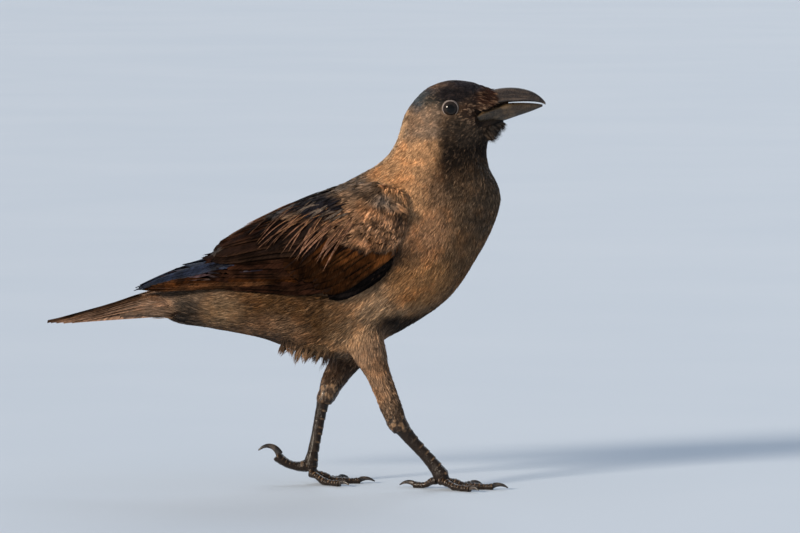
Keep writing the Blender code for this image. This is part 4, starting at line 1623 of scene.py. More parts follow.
BRISTLES = (
    BristlePatch("nasal", ((130.5, 280.5), (131, 290), (137, 294), (142.8, 292.6), (143, 284),
                           (138, 280.6), (133, 278)), 300, (1, 0, -0.16), 0.15, (6, 13), 0,
                 ((276, 137), (280, 146), (284, 152.2), (288, 150.5), (291, 147.5), (295, 143.5))),
    BristlePatch("chin", ((138, 260.5), (144, 265.3), (150, 268), (153, 267.4), (148, 261.5),
                          (143.5, 256.5), (139, 255.5)), 150, (0.8, 0.1, -0.58), 0.3, (2.5, 7.5), 0.2,
                 width=0.1, clump=(0.5, 0.2)),
    BristlePatch("vent", ((-9, 105), (2, 101), (14, 97.5), (31, 95), (31, 101),
                          (14, 103.5), (2, 107), (-9, 111)), 150, (-0.46, 0.02, -0.88), 0.26,
                 (4, 14.5), 0.2, form=("trunk",), width=0.22, clump=(0.12, 0.7)),
    BristlePatch("thigh", ((62, 88), (67.5, 88), (74, 66), (68, 64)), 60, (0.5, 0.15, -0.85),
                 0.14, (5, 9), 0.3, form=("thigh_right",), sides=(Side.RIGHT,), width=0.24,
                 clump=(0.2, 0.7)),
    BristlePatch("cape", ((52, 222), (60, 219), (72, 212), (76, 206), (68, 208),
                          (56, 214)), 90, (0.88, 0, -0.47), 0.1, (8, 17), 0.8,
                 form=("trunk", "neck", "wing_left_coverts", "wing_right_coverts"), width=0.22,
                 clump=(0.12, 0.6)),
)


@dataclass
class Bristles:
    """The bristles of the face, and the loose tufts of vent, thigh and cape."""

    skin: Skin
    finish: Material
    spread: float = 0.8
    gap: float = 0.7
    depth: float = 0.35
    ruffle: float = 0.6
    shortest: float = 1.5  # after the limit has cut them, shorter ones are left out
    strands: int = 4
    knots: int = 6
    seed: int = 31

    def build(self) -> None:
        """Lays each patch on the outer form of its part of the bird."""
        rng = np.random.default_rng(self.seed)
        for patch in BRISTLES:
            form = fused(patch.form, 1.0, 0.15)
            relax(form, 3)
            surface = Surface(form)
            form.free()
            roots, ways, lengths = self.roots(patch, surface, rng)
            if patch.stand:
                spines = self.standing(surface, roots, ways, lengths, patch.stand)
            else:
                spines = Spines.marched(surface, roots, ways, lengths, self.knots)
            spines, shades = clumped(spines, *patch.clump, rng)
            numbers = {"fan": self.spread, "gap": self.gap, "depth": self.depth, "ruffle": self.ruffle,
                       "fill": 1.0}
            growth = {key: np.full(len(roots), value) for key, value in numbers.items()}
            growth["shade"] = shades
            fan = Fan(self.strands, patch.width)
            laid = fan.laid(spines, growth, self.skin.patches_at(roots), rng)
            laid.piece(f"bristles_{patch.name}", self.finish, "body_feathers")

    def roots(self, patch: BristlePatch, surface: Surface,
              rng: Generator) -> tuple[Array, Array, Array]:
        """Picks random roots inside a patch.

        Args:
            patch: The patch.
            surface: The form that it grows on.
            rng: The source of chance.

        Returns:
            The roots, and the way and the length of each tuft.
        """
        outline = np.array(patch.outline)
        found = []
        for side in patch.sides:
            flat = np.zeros((0, 2))
            while len(flat) < patch.count:
                more = rng.uniform(outline.min(0), outline.max(0), (patch.count, 2))
                flat = np.concatenate([flat, more[depth_inside(more, patch.outline) > 0]])
            flat = flat[:patch.count]
            roots = np.array([surface.from_outside(x, z, side) for x, z in flat.tolist()])
            ways = unit(np.array(patch.way) * (1, side.value, 1) + rng.normal(0, patch.stray, roots.shape))
            lengths = rng.uniform(*patch.length, len(roots))
            if patch.limit:
                heights, reaches = zip(*patch.limit)
                room = np.interp(roots[:, 2] - 1.0, heights, reaches) - roots[:, 0]
                lengths = np.minimum(lengths, room * rng.uniform(0.7, 1.05, len(roots)))
                kept = lengths > self.shortest
                roots, ways, lengths = roots[kept], ways[kept], lengths[kept]
            found.append((roots, ways, lengths))
        return tuple(np.concatenate(parts) for parts in zip(*found))

    def standing(self, surface: Surface, roots: Array, ways: Array, lengths: Array,
                 stand: float) -> Spines:
        """Makes spines that leave the surface and droop a little towards their tips.

        Args:
            surface: The surface.
            roots: Their roots.
            ways: The ways in which they point.
            lengths: Their lengths.
            stand: How far they leave the surface.

        Returns:
            The spines.
        """
        points, normals = surface.nearest(roots)
        heading = unit(ways + normals * 0.35 * stand)
        steps = np.linspace(0, 1, self.knots)
        knots = points[:, None] + heading[:, None] * (steps[None, :, None] * lengths[:, None, None])
        knots[:, :, 2] -= 0.12 * lengths[:, None] * steps**2
        return Spines(knots, np.repeat(normals[:, None], self.knots, 1))


# ---- the large feathers


@dataclass(frozen=True)
class Row:
    """A row of large feathers on the left wing or the tail, from its first to its last one.

    Roots and tips are x and z in the side view. Each pair runs from the first feather to the
    last, and the feathers between them are spread evenly.

    Attributes:
        name: The row's name.
        count: How many feathers it has.
        roots: The first and the last root.
        tips: The first and the last tip.
        width: Half width of the first and the last feather.
        lift: Height over the wing's surface of the first and the last one.
        dye: Colour of the first and the last one; in some rows it holds painted shade, sunlight or sky
            reflection.
        wear: How pale the edges are worn.
        glossy: Whether they have the glossy finish.
        roll: Turn about the shaft, in degrees, which raises the lower edge.
        bow: How far the shaft curves upwards at its middle.
        stray: How much roots, tips and widths vary.
        blunt: Where the tip's rounding begins.
        point: How it narrows from there: 0.5 makes it round, 1 a spike.
        dusk: How much darker its outer half gets, or paler if it is negative.
    """

    name: str
    count: int
    roots: tuple[Pair, Pair]
    tips: tuple[Pair, Pair]
    width: Pair
    lift: Pair
    dye: tuple[Triple, Triple]
    wear: float = 0.5
    glossy: bool = False
    roll: float = 4.0
    bow: float = 1.0
    stray: float = 0.5
    blunt: float = 0.8
    point: float = 0.5
    dusk: float = 0.0


CHOCOLATE = (0.068, 0.0235, 0.0064)
DARK_CHOCOLATE = (0.012, 0.0042, 0.0018)
RUST = (0.022, 0.0072, 0.0018)
COAL = (0.004, 0.003, 0.0028)
# the primaries' own black, with a blue tint that paints the sky's reflection on their upper feathers
BLACK_AND_PAINTED_SKY_SHEEN = (0.008, 0.0115, 0.023)
GLOW = (0.062, 0.023, 0.006)
UMBER = (0.0105, 0.004, 0.0021)
SOOT = (0.007, 0.004, 0.003)
# pale grey-brown, with painted sunlight: the lit lower band of the tail
DRAB_AND_PAINTED_SUN = (0.165, 0.105, 0.074)
TAN = (0.046, 0.024, 0.0155)
GREY = (0.07, 0.056, 0.046)
NIGHT = (0.0075, 0.0072, 0.0098)

WING_ROWS = (
    Row("alula", 4, ((84, 188), (77, 174)), ((34, 148.5), (25, 142.2)), (5.5, 6.5), (-0.7, -1),
        (COAL, COAL), 0, False, 1, -4.5, 0.5, 0.72),
    Row("primaries", 7, ((-8, 170), (0, 158)), ((-83, 163.3), (-118.5, 145.6)), (5.6, 4.2), (-0.6, -1.3),
        (BLACK_AND_PAINTED_SKY_SHEEN, GLOW), 0, True, 4, 0.8, 0.2, 0.62, 0.6),
    Row("outer primaries", 3, ((-50, 168), (-46, 165)), ((-117, 147.3), (-119, 146)), (2.2, 2.4),
        (0.1, -0.2), (BLACK_AND_PAINTED_SKY_SHEEN, BLACK_AND_PAINTED_SKY_SHEEN), 0, True, 4, 2.2, 0.1, 0.62, 0.6),
    Row("lower primaries", 6, ((0, 157), (4, 152)), ((-92, 153), (-116, 147.5)), (3.4, 3), (-0.1, -0.6),
        (RUST, RUST), 0.12, False, 8, 0.5, 0.2, 0.7),
    Row("secondaries", 9, ((14, 180), (26, 148.5)), ((-67, 171), (-62, 152.8)), (7, 5.6), (-0.2, -0.6),
        (UMBER, UMBER), 0.02, False, 4, -1.4, 0.8, 0.8),
    Row("tertials", 7, ((2, 206), (24, 184)), ((-59, 182), (-60, 168)), (7, 8), (0.8, 0.2),
        (UMBER, SOOT), 0.04, False, 6, 1.5, 1.2, 0.78),
    Row("greater coverts", 9, ((46, 204), (84, 187)), ((-8, 161), (22, 147)), (8.2, 8.2), (0.5, 0.3),
        (CHOCOLATE, CHOCOLATE), 0.03, False, 2.5, 0.8, 1.8, 0.72, 0.5, 0.86),
)


SMALL_WING_ROWS = (
    Row("median coverts", 18, ((30, 204), (80, 194)), ((8, 174), (48, 177)), (2.6, 2.8), (1.2, 0.9),
        (SOOT, DARK_CHOCOLATE), 0.06, False, 10, 0.6, 3, 0.2, 0.9),
    Row("dorsal edge", 14, ((16, 212), (8, 202)), ((-48, 195), (-50, 182)), (2, 2), (1.6, 1.2),
        (TAN, SOOT), 0.8, False, 12, 1.2, 1.6, 0.15, 0.9),
    Row("tertial coverts", 12, ((12, 204), (22, 184)), ((-34, 186), (-26, 168)), (3, 2.6), (1.3, 0.9),
        (SOOT, SOOT), 0.06, False, 10, 0.8, 2.6, 0.3, 0.9),
    Row("fan back", 16, ((2, 207), (40, 200)), ((-38, 184), (6, 168)), (3, 3), (1.6, 1.4),
        (COAL, SOOT), 0.03, False, 10, 2.4, 2.4, 0.15, 1),
    Row("fan", 19, ((2, 208), (42, 200)), ((-36, 188), (22, 171)), (1.8, 1.8), (2.4, 2.2),
        (TAN, TAN), 2, False, 24, 3.6, 2.6, 0.06, 1, -1.2),
    Row("fan tips", 10, ((0, 200), (44, 194)), ((-30, 179), (18, 166)), (1.2, 1.2), (3, 2.8),
        (TAN, TAN), 2.4, False, 24, 3, 2.8, 0.06, 1, -1.6),
    Row("dark scapulars", 14, ((14, 214), (38, 208)), ((-8, 201), (12, 197)), (1.3, 1.3), (2.8, 2.8),
        (NIGHT, NIGHT), 0.02, False, 8, 0.8, 2.2, 0.2, 0.9),
    Row("grey scapulars", 16, ((12, 209), (36, 203)), ((0, 202), (24, 196)), (1, 1), (3, 3),
        (GREY, GREY), 0.3, False, 8, 0.8, 1.6, 0.2, 0.9),
)


@dataclass
class Plumes:
    """Lays rows of large feathers on one wing."""

    side: Side
    surface: Surface
    finishes: Finishes  # matt and glossy
    seed: int
    knots: int = 9
    thickness: float = 0.32

    def build(self, row: Row, fine: bool, replaced: str | None = None) -> Object:
        """Makes one row as a piece.

        Args:
            row: The row.
            fine: Whether its feathers have many faces and a thickness of their own.
            replaced: The CAD node that the row stands for.

        Returns:
            The piece.
        """
        rng = np.random.default_rng([self.seed, sum(map(ord, row.name))])
        share = np.linspace(0, 1, row.count)
        ends = []
        for pair in (row.roots, row.tips):
            line = np.outer(1 - share, pair[0]) + np.outer(share, pair[1])
            ends.append(line + rng.normal(0, row.stray, line.shape))
        spines = self.spines(ends[0], ends[1], row.bow)
        blade = (leaf_blade(8, 18, row.blunt, row.point, 0.9, 1.0) if fine
                 else leaf_blade(4, 7, row.blunt, row.point, 0.8))
        name = f"feathers_{self.side.label}_{row.name.replace(' ', '_')}"
        laid = self.lay(row, share, spines, blade, rng)
        piece = laid.piece(name, self.finishes[row.glossy], "flight_feathers")
        if replaced:
            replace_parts(piece, replaced)
        return piece

    def spines(self, roots: Array, tips: Array, bow: float) -> Spines:
        """Lays a row's spines over the wing.

        Args:
            roots: Where they start, as x and z in the side view.
            tips: Where they end.
            bow: How far they curve upwards at their middle.

        Returns:
            The spines, on the wing's surface.
        """
        lines = []
        for root, tip in zip(roots, tips):
            line = []
            for t in np.linspace(0, 1, self.knots):
                x, z = root * (1 - t) + tip * t
                line.append(self.surface.from_outside(x, z + bow * 4 * t * (1 - t), self.side))
            lines.append(line)
        places = evened(np.array(lines), 2)
        _, normals = self.surface.nearest(places.reshape(-1, 3))
        normals = normals.reshape(places.shape)
        for _ in range(3):
            normals = unit(evened(normals, 1))
        return Spines(places, normals)

    def lay(self, row: Row, share: Array, spines: Spines, blade: Blade,
            rng: Generator) -> Laid:
        """Lays one blade along each spine of a row.

        Args:
            row: The row.
            share: How far down the row each feather is, from 0 to 1.
            spines: One spine for each feather.
            blade: The feather.
            rng: The source of chance.

        Returns:
            The feathers.
        """
        count = row.count
        across, along, rise = blade.points.T
        spine = np.repeat(np.arange(count), len(along))
        centre, outward, side = spines.at(spine, np.tile(along, count))
        width = np.interp(share, (0, 1), row.width) * rng.uniform(0.88, 1.1, count)
        lift = np.interp(share, (0, 1), row.lift)
        roll = np.radians(row.roll) * self.side.value
        steps, step_of = np.unique(np.round(along, 4), return_inverse=True)
        fray = 1 - min(row.wear, 1.0) * 0.28 * rng.random((count, len(steps), 2)) ** 2
        edge = fray[:, step_of, (across > 0).astype(int)]
        half = across[None] * width[:, None] * np.where(np.abs(across) > 0.4, edge, 1)
        sideways = (half * math.cos(roll)).reshape(-1, 1)
        height = lift[:, None] + rise[None] * self.thickness + half * math.sin(roll)
        points = (centre + side * sideways + outward * height.reshape(-1, 1)).reshape(count, -1, 3)
        lengths = np.linalg.norm(np.diff(spines.knots, axis=1), axis=2).sum(1)
        numbers = self.numbers(row, share, blade, width, lengths, rng)
        return Laid(points, blade, numbers, blade.bake_cells(count))

    def numbers(self, row: Row, share: Array, blade: Blade, width: Array, lengths: Array,
                rng: Generator) -> dict[str, Array]:
        """Works out what the finish reads at each point of each feather.

        Args:
            row: The row.
            share: How far down the row each feather is, from 0 to 1.
            blade: The feather.
            width: Half the width of each one.
            lengths: Their lengths.
            rng: The source of chance.

        Returns:
            The numbers by name: one or three for each point.
        """
        count = row.count
        across, along, _ = blade.points.T
        shape = (count, len(along))
        shade = rng.random(count)
        from_shaft = np.abs(across)[None] * width[:, None]
        down = along[None] * lengths[:, None]
        place = np.stack([(down - 1.4 * from_shaft) * 0.9, from_shaft * 0.25 + down * 0.02,
                          np.broadcast_to(shade[:, None] * 90, shape)], 2)
        dye = np.outer(1 - share, row.dye[0]) + np.outer(share, row.dye[1])
        fade = 1 - row.dusk * smoothstep(0.3, 0.8, along)
        return {
            "across": np.broadcast_to(across / np.abs(across).max(), shape),
            "along": np.broadcast_to(along, shape),
            "tuft": np.broadcast_to(shade[:, None], shape),
            "wear": np.broadcast_to((row.wear * rng.uniform(0.4, 1.3, count))[:, None], shape),
            "dye": dye[:, None] * fade[None, :, None],
            "place": place,
        }


@dataclass
class Wing:
    """One folded wing: its outer surface and all the rows of feathers on it."""

    side: Side
    finishes: Finishes
    voxel: float = 1.0
    swell: float = 0.3

    def build(self, coat: Coat) -> None:
        """Fuses the wing's solids, and lays the rows and the shoulder's tufts on them.

        Args:
            coat: The coat that has the tufts.
        """
        names = tuple(f"wing_{self.side.label}_{part}" for part in WING_PARTS)
        shell = fused(names, self.voxel, self.swell)
        relax(shell, 6)
        surface = Surface(shell, facing=(0.0, self.side.value * 0.94, 0.35))
        shell.free()
        plumes = Plumes(self.side, surface, self.finishes, seed=21 + self.side.value)
        nodes = {"greater coverts": names[0], "secondaries": names[1], "primaries": names[2]}
        for row in WING_ROWS:
            plumes.build(row, fine=True, replaced=nodes.get(row.name))
        for row in SMALL_WING_ROWS:
            plumes.build(row, fine=False)
        coat.shoulder(self.side, surface, Lie(SHOULDER_GUIDES))


@dataclass
class Tail:
    """Twelve tail feathers, closed, the middle pair uppermost."""

    finishes: Finishes
    pairs: int = 6
    root_x: float = -74.0
    tip_x: float = -183.4
    rounding: float = 20.0
    root_start: float = 1.4  # the middle pair's distance from the bird's middle
    root_pitch: float = 1.4  # and how much further out each next pair lies
    tip_start: float = 2.2
    tip_pitch: float = 3.3
    half_width: float = 6.6
    layer: float = 0.34
    knots: int = 11
    seed: int = 5

    def build(self) -> Object:
        """Lays the feathers on the tail solid's upper face.

        Returns:
            The tail.
        """
        shell = fused(("tail",), 0.9, 0.3)
        relax(shell, 5)
        surface = Surface(shell, facing=(0.0, 0.0, 1.0))
        shell.free()
        order = [(side, i) for i in range(self.pairs) for side in Side]
        lines = []
        for side, i in order:
            share = i / (self.pairs - 1)
            tip = (self.tip_x + self.rounding * share**1.7, self.tip_start + self.tip_pitch * i)
            root = (self.root_x, self.root_start + self.root_pitch * i)
            line = []
            for t in np.linspace(0, 1, self.knots):
                x = root[0] + (tip[0] - root[0]) * t
                y = side.value * (root[1] + (tip[1] - root[1]) * t**0.7)
                hit = surface.tree.ray_cast(Vector((x, y, 400.0)), Vector((0, 0, -1)))
                line.append(hit[0] or surface.tree.find_nearest(Vector((x, y, 130.0)))[0])
            lines.append(line)
        knots = evened(np.array(lines), 3)
        _, normals = surface.nearest(knots.reshape(-1, 3))
        normals = unit(normals.reshape(knots.shape) + (0, 0, 0.8))
        spines = Spines(knots, normals)
        # dark middle pair on top, pale outer pairs below: partly the feathers' own colours, partly painted
        # shade on top and painted sunlight on the lower band
        row = Row("tail", len(order), ((0, 0), (0, 0)), ((0, 0), (0, 0)), (self.half_width,) * 2,
                  (0.3, 0.3 - self.layer * self.pairs), (SOOT, DRAB_AND_PAINTED_SUN), 0.3, False, 0.0, 0.0, 0.0, 0.86)
        rng = np.random.default_rng(self.seed)
        plumes = Plumes(Side.LEFT, surface, self.finishes, self.seed)
        blade = leaf_blade(8, 22, row.blunt, row.point, 0.7, 1.0)
        laid = plumes.lay(row, np.linspace(0, 1, len(order)), spines, blade, rng)
        piece = laid.piece("tail_feathers", self.finishes[0], "flight_feathers")
        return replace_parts(piece, "tail")


# ---- bill, claws, eyes


def rounded(bm: BMesh, name: str, swell: float, levels: int = 2) -> Object:
    """Rounds a solid's mesh by subdivision, with its sharp edges kept.

    Args:
        bm: The mesh, which is freed.
        name: The new object's name.
        swell: Growth before subdivision, in millimetres, which makes up for its shrinking.
        levels: Levels of subdivision.

    Returns:
        The object.
    """
    bmesh.ops.join_triangles(bm, faces=bm.faces, angle_face_threshold=math.radians(50),
                             angle_shape_threshold=math.radians(60))
    bm.normal_update()
    crease = bm.edges.layers.float.new("crease_edge")
    for edge in bm.edges:
        if len(edge.link_faces) == 2 and edge.calc_face_angle() > math.radians(62):
            edge[crease] = 0.75
    for vert in bm.verts:
        vert.co += vert.normal * swell * MM
        vert.co.z = max(vert.co.z, 0.0)
    rough = to_object("rough", bm)
    smooth = rough.modifiers.new("smooth", "SUBSURF")
    smooth.levels = levels
    smooth.render_levels = levels
    return to_object(name, evaluated(rough))


@dataclass
class Bill:
    """The two halves of the bill, which run back under the feathers of the face."""

    finishes: Finishes  # upper and lower
    base_way: Triple = (-0.896, 0.0, -0.444)  # out of the cut where each solid half ends
    # Steps backwards for each half: along x, along z, and how much wider it gets.
    upper_steps: tuple[Triple, ...] = ((-3.3, -0.9, 1.18), (-3.3, -1.0, 1.15), (-6.0, -2.2, 1.20),
                                       (-5.0, -2.4, 1.05), (-4.0, -1.0, 0.80))
    lower_steps: tuple[Triple, ...] = ((-3.3, -0.8, 1.25), (-3.2, -0.9, 1.21), (-6.0, -2.0, 1.25),
                                       (-5.2, -2.3, 1.08), (-4.0, -1.0, 0.80))

    def build(self) -> None:
        """Makes each half from its solid."""
        for node, finish, steps in zip(BILLS, self.finishes, (self.upper_steps, self.lower_steps)):
            bm = merged(node)
            base = [f for f in bm.faces if f.normal.dot(Vector(self.base_way)) > 0.95]
            for along, down, wider in steps:
                grown = bmesh.ops.extrude_face_region(bm, geom=base)["geom"]
                base = [part for part in grown if isinstance(part, BMFace)]
                moved = [part for part in grown if isinstance(part, BMVert)]
                bmesh.ops.translate(bm, verts=moved, vec=Vector((along, 0, down)) * MM)
                bmesh.ops.scale(bm, verts=moved, vec=(1, wider, 1))
            piece = rounded(bm, f"{node}_horn", 0.1)
            dress(piece, finish)
            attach(piece, "root")
            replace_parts(piece, node)
            LOG.info("%s: %d faces", piece.name, len(piece.data.polygons))


@dataclass
class Eye:
    """One eye: the ball and the bare rim round it."""

    side: Side
    glass: EyeGlass
    lid: Material
    rim_radii: tuple[float, ...] = (5.30, 5.42, 5.68, 5.98, 6.35, 6.90)
    rim_rises: tuple[float, ...] = (0.05, 0.40, 0.58, 0.40, 0.05, -0.60)
    around: int = 64

    def build(self, surface: Surface) -> None:
        """Makes the ball and its rim.

        Args:
            surface: The skin, which the rim meets.
        """
        node = f"eye_{self.side.label}"
        low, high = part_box(node)
        centre = (low + high) / 2
        radius = (high - low).z / 2
        bm = bmesh.new()
        bmesh.ops.create_uvsphere(
            bm, u_segments=48, v_segments=32, radius=radius,
            matrix=Matrix.Translation(centre) @ Matrix.Rotation(math.pi / 2, 4, "X"),
        )
        ball = to_object(f"eyeball_{self.side.label}", bm)
        dress(ball, self.glass.material(centre))
        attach(ball, "root")
        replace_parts(ball, node)
        self.rim(centre / MM, radius / MM, surface)

    def rim(self, centre: Vector, radius: float, surface: Surface) -> None:
        """Makes the bare rim: circles about the eye's axis, bridged from ball to skin.

        Args:
            centre: The eye's centre.
            radius: The ball's radius.
            surface: The skin.
        """
        bm = bmesh.new()
        loops = []
        for ring, rise in zip(self.rim_radii, self.rim_rises):
            circle = bmesh.ops.create_circle(bm, segments=self.around, radius=ring * MM)["verts"]
            for vert in circle:
                x, z = vert.co.x / MM + centre.x, vert.co.y / MM + centre.z
                ball = abs(centre.y) + math.sqrt(max(radius**2 - ring**2, 0.0))
                skin = abs(surface.from_outside(x, z, self.side).y)
                share = float(smoothstep(5.4, 7.2, np.array(ring)))
                wrinkle = 0.06 * math.sin(23 * math.atan2(vert.co.y, vert.co.x))
                y = ball * (1 - share) + skin * share + rise + wrinkle * (rise > 0.3)
                vert.co = Vector((x, self.side.value * y, z)) * MM
            loops.append([*dict.fromkeys(e for v in circle for e in v.link_edges)])
        for near, far in zip(loops, loops[1:]):
            bmesh.ops.bridge_loops(bm, edges=near + far)
        bmesh.ops.recalc_face_normals(bm, faces=bm.faces)
        if sum(f.normal.y for f in bm.faces) * self.side.value < 0:
            bmesh.ops.reverse_faces(bm, faces=bm.faces)
        lid = to_object(f"eye_rim_{self.side.label}", bm)
        dress(lid, self.lid)
        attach(lid, "root")
        LOG.info("%s: %d faces", lid.name, len(lid.data.polygons))


# ---- legs


@dataclass
class Leg:
    """One bare shank with its four toes and claws."""

    side: Side
    scales: Material
    horn: Material
    toes: tuple[str, ...] = ("inner", "middle", "outer", "hind")
    voxel: float = 0.42
    swell: float = 0.22
    shank_pitch: float = 6.4
    shank_step: float = 0.62
    toe_pitch: float = 3.1
    toe_step: float = 0.42
    reach: float = 8.0  # how far bare skin runs up under the thigh's feathers
    sink: float = 2.0  # and how deep it lies there
    knob: float = 1.1  # how far the ankle joint swells
    gnarl: float = 0.5  # depth of the wet skin's folds
    fold_scale: Triple = (0.55, 0.55, 0.2)

    def build(self) -> None:
        """Fuses the leg, models its scutes and adds the claws."""
        label = self.side.label
        shank = f"shank_{label}"
        toes = [f"toe_{label}_{toe}" for toe in self.toes]
        thigh = f"thigh_{label}"
        bm = fused((thigh, shank, *toes), self.voxel, self.swell)
        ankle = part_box(thigh)[0].z / MM
        feathers = FEATHER_ENDS[self.side]
        bmesh.ops.bisect_plane(bm, geom=bm.verts[:] + bm.edges[:] + bm.faces[:], dist=CUT_SLACK,
                               plane_co=(0, 0, (feathers + self.reach) * MM), plane_no=(0, 0, 1),
                               clear_outer=True)
        bmesh.ops.holes_fill(bm, edges=[e for e in bm.edges if e.is_boundary])
        relax(bm, 4)
        bm.normal_update()
        places = np.array([v.co for v in bm.verts]) / MM
        normals = np.array([v.normal for v in bm.verts])
        rises, ridges = self.scutes(places, normals, shank, toes)
        heights = places[:, 2]
        above = smoothstep(ankle, ankle + 5.0, heights)
        folds = np.array([noise.noise(Vector(place)) for place in (places * self.fold_scale).tolist()])
        rises = rises * (1 - above) + self.gnarl * folds * (0.35 + 0.65 * above)
        rises += self.knob * np.exp(-(((heights - ankle - 4.0) / 4.5) ** 2))
        # above the ankle the raised folds take the pale ridge colour: a painted highlight on the wet skin
        ridges = ridges * (1 - above) + (0.3 + 1.1 * smoothstep(-0.1, 0.25, folds)) * above
        under = smoothstep(feathers, feathers + 5.0, heights)
        rises = rises * (1 - under) - self.sink * under
        for vert, rise in zip(bm.verts, rises):
            vert.co += vert.normal * rise * MM
            vert.co.z = max(vert.co.z, 0.02 * MM)
        leg = to_object(f"leg_{label}", bm)
        pale_share = leg.data.attributes.new("ridge", "FLOAT", "POINT")
        pale_share.data.foreach_set("value", ridges.astype(np.float32))
        dress(leg, self.scales)
        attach(leg, "root")
        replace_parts(leg, shank, *toes)
        LOG.info("%s: %d faces", leg.name, len(leg.data.polygons))
        for toe in self.toes:
            claw = rounded(merged(f"claw_{label}_{toe}"), f"claw_{label}_{toe}_horn", 0.34)
            dress(claw, self.horn)
            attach(claw, "root")
            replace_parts(claw, f"claw_{label}_{toe}")

    def scutes(self, places: Array, normals: Array, shank: str, toes: list[str]) -> tuple[Array, Array]:
        """Plates the front of the shank and the top of each toe.

        Args:
            places: The leg's points, in millimetres.
            normals: The way out at each point.
            shank: The shank's node.
            toes: The toes' nodes.

        Returns:
            How far each point rises, and how worn the plate is there.
        """
        best = np.full(len(places), np.inf)
        rises, ridges = np.zeros(len(places)), np.zeros(len(places))
        lines = [(centre_line(shank, Vector((0, 0, -1))), self.shank_pitch, self.shank_step, (1, 0, 0))]
        knuckle = Vector(lines[0][0][-1])
        for toe in toes:
            low, high = (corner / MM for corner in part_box(toe))
            ahead = (low + high) / 2 - knuckle
            ahead.z = 0
            lines.append((centre_line(toe, ahead.normalized()), self.toe_pitch, self.toe_step, (0, 0, 1)))
        for line, pitch, step, face in lines:
            away, down, run = from_line(places, line)
            facing = np.array(face) - run * (run @ np.array(face))[:, None]
            front = smoothstep(-0.15, 0.55, (normals * unit(facing)).sum(1))
            part = (down / pitch) % 1
            plate = part**0.8 * (1 - smoothstep(0.88, 1.0, part)) - 0.25
            nearer = away < best
            best = np.where(nearer, away, best)
            rises = np.where(nearer, plate * step * front, rises)
            edge = smoothstep(0.66, 0.84, part) * (1 - smoothstep(0.9, 0.98, part))
            ridges = np.where(nearer, edge * front, ridges)
        return rises, ridges


def centre_line(node: str, way: Vector, slices: int = 9) -> Array:
    """Finds the middle of a CAD node, slice by slice.

    Args:
        node: The node.
        way: The direction in which it is sliced.
        slices: How many slices there are.

    Returns:
        The middles, in millimetres.
    """
    points = np.array([v.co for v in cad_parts[node].data.vertices]) / MM
    down = points @ np.array(way)
    limits = np.linspace(down.min(), down.max(), slices + 1)
    inside = [(down >= low - 0.5) & (down <= high + 0.5) for low, high in zip(limits, limits[1:])]
    return np.array([points[part].mean(0) for part in inside if part.any()])


def from_line(places: Array, line: Array) -> tuple[Array, Array, Array]:
    """Measures places against a bent line.

    Args:
        places: The places.
        line: The line's corners.

    Returns:
        Each place's distance from the line, its distance down it, and the line's way there.
    """
    starts, runs = line[:-1], np.diff(line, axis=0)
    lengths = np.linalg.norm(runs, axis=1)
    before = np.concatenate([[0], np.cumsum(lengths)[:-1]])
    local = places[:, None] - starts[None]
    share = (local * runs).sum(2) / lengths**2
    low = np.where(np.arange(len(runs)) == 0, -9.0, 0.0)
    high = np.where(np.arange(len(runs)) == len(runs) - 1, 9.0, 1.0)
    kept = np.clip(share, low, high)
    away = np.linalg.norm(local - kept[:, :, None] * runs, axis=2)
    best = away.argmin(1)
    index = np.arange(len(places))
    ends = np.clip(kept, 0, 1)
    true_away = np.linalg.norm(local - ends[:, :, None] * runs, axis=2)[index, best]
    down = before[best] + kept[index, best] * lengths[best]
    return true_away, down, (runs / lengths[:, None])[best]


# ---- the studio


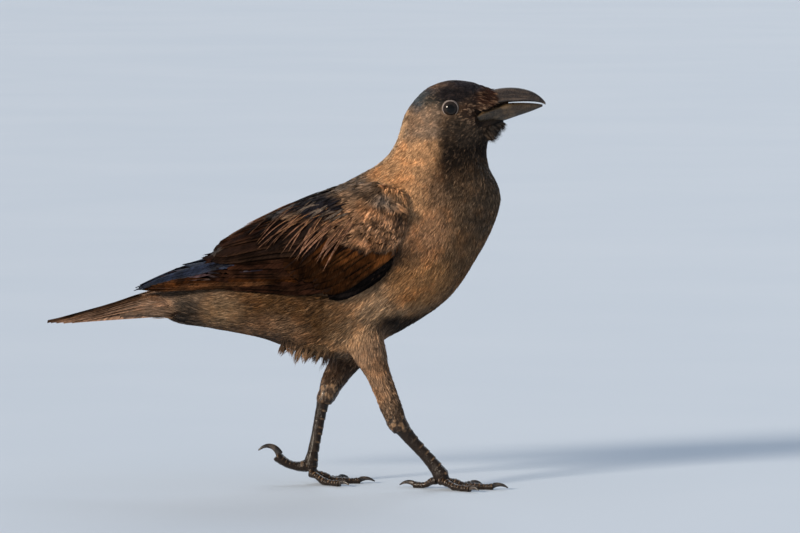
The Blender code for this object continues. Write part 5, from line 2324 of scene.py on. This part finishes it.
@dataclass
class Studio:
    """A plain pale floor, soft lights, and the camera low at the bird's right side."""

    view_width: float = 0.584  # metres across the picture where the bird stands
    aim: Triple = (0.07665, -0.024, 0.1632)
    elevation: float = 4.0
    distance: float = 5.0
    sensor: float = 36.0
    floor_colours: tuple[Triple, Triple] = ((0.54, 0.62, 0.72), (0.57, 0.645, 0.74))

    def build(self) -> None:
        """Adds floor, world, lights and camera."""
        self.floor()
        self.world()
        self.sun("key", (-0.74, -0.66, 0.36), 13.0, 4.4, (1.0, 0.86, 0.70))
        self.sun("back", (0.30, 0.86, 0.60), 40.0, 0.7, (0.84, 0.92, 1.0))
        self.camera()

    def floor(self) -> None:
        """A wide floor, far past the picture's edges."""
        bm = bmesh.new()
        bmesh.ops.create_grid(bm, x_segments=1, y_segments=1, size=40.0)
        floor = to_object("floor", bm)
        graph = Finish("pale_floor")
        clouds = graph.ramp(graph.noise(graph.object_place(), 2.2, 3.0), 0.2, 0.8)
        shade = graph.mix(clouds, *(rgba(colour) for colour in self.floor_colours))
        dress(floor, graph.material({"Base Color": shade, "Roughness": 0.7}))

    def world(self) -> None:
        """A pale, even surround."""
        world = bpy.data.worlds.new("surround")
        bpy.context.scene.world = world
        world.use_nodes = True
        shade = world.node_tree.nodes["Background"]
        shade.inputs["Color"].default_value = (0.78, 0.87, 1.0, 1.0)
        shade.inputs["Strength"].default_value = 0.44

    def sun(self, name: str, toward: Triple, softness: float, strength: float, colour: Triple) -> None:
        """A soft parallel light, so that the whole floor is lit evenly.

        Args:
            name: The light's name.
            toward: The way from the bird to the light.
            softness: The light's breadth in the sky, in degrees.
            strength: Its strength.
            colour: Its colour.
        """
        data = bpy.data.lights.new(name, "SUN")
        data.angle = math.radians(softness)
        data.energy = strength
        data.color = colour
        lamp = bpy.data.objects.new(name, data)
        lamp.location = Vector(self.aim) + Vector(toward) * 2
        lamp.rotation_euler = (-Vector(toward)).to_track_quat("-Z", "Y").to_euler()
        bpy.context.scene.collection.objects.link(lamp)

    def camera(self) -> None:
        """A long lens, level across, looking a little down."""
        data = bpy.data.cameras.new("camera")
        data.sensor_width = self.sensor
        data.lens = self.sensor * self.distance / self.view_width
        data.clip_end = 200.0
        camera = bpy.data.objects.new("camera", data)
        tilt = math.radians(self.elevation)
        back = Vector((0, -math.cos(tilt), math.sin(tilt))) * self.distance
        camera.location = Vector(self.aim) + back
        camera.rotation_euler = (-back).to_track_quat("-Z", "Y").to_euler()
        bpy.context.scene.collection.objects.link(camera)
        bpy.context.scene.camera = camera
        bpy.context.scene.view_settings.view_transform = "Standard"


# ---- the bird


def main() -> None:
    """Builds the bird and its studio."""
    logging.basicConfig(level=logging.INFO, format="%(name)s: %(message)s")
    lie = Lie(GUIDES)
    plumage = Plumage()
    group = plumage.markings()
    skin = Skin()
    body = skin.build(lie)
    dress(body, plumage.skin(group))
    LOG.info("skin: %d triangles", len(body.data.polygons))
    coat = Coat(skin, lie, plumage.strands(group, "small_feathers", 0.33),
                plumage.strands(group, "ragged_feathers", 0.7), share=1.0)
    coat.body()
    Bristles(skin, coat.finish).build()
    finishes = (Vanes("matt_vanes", 0.015, 0.70).material(), Vanes("glossy_vanes", 0.06, 0.42).material())
    for side in Side:
        Wing(side, finishes).build(coat)
    Tail(finishes).build()
    upper = Horn("upper_bill_horn", (0.019, 0.0142, 0.0118), (0.110, 0.078, 0.056), 0.27).material()
    lower = Horn("lower_bill_horn", (0.030, 0.020, 0.011), (0.120, 0.080, 0.044), 0.30).material()
    Bill((upper, lower)).build()
    lid = LidSkin().material()
    claws = Horn("claw_horn", (0.016, 0.014, 0.013), (0.07, 0.055, 0.045), 0.28, (260.0,) * 3).material()
    scales = Scales().material()
    for side in Side:
        Eye(side, EyeGlass(), lid).build(skin.inner)
        Leg(side, scales, claws).build()
    Studio().build()


if __name__ == "__main__":
    main()
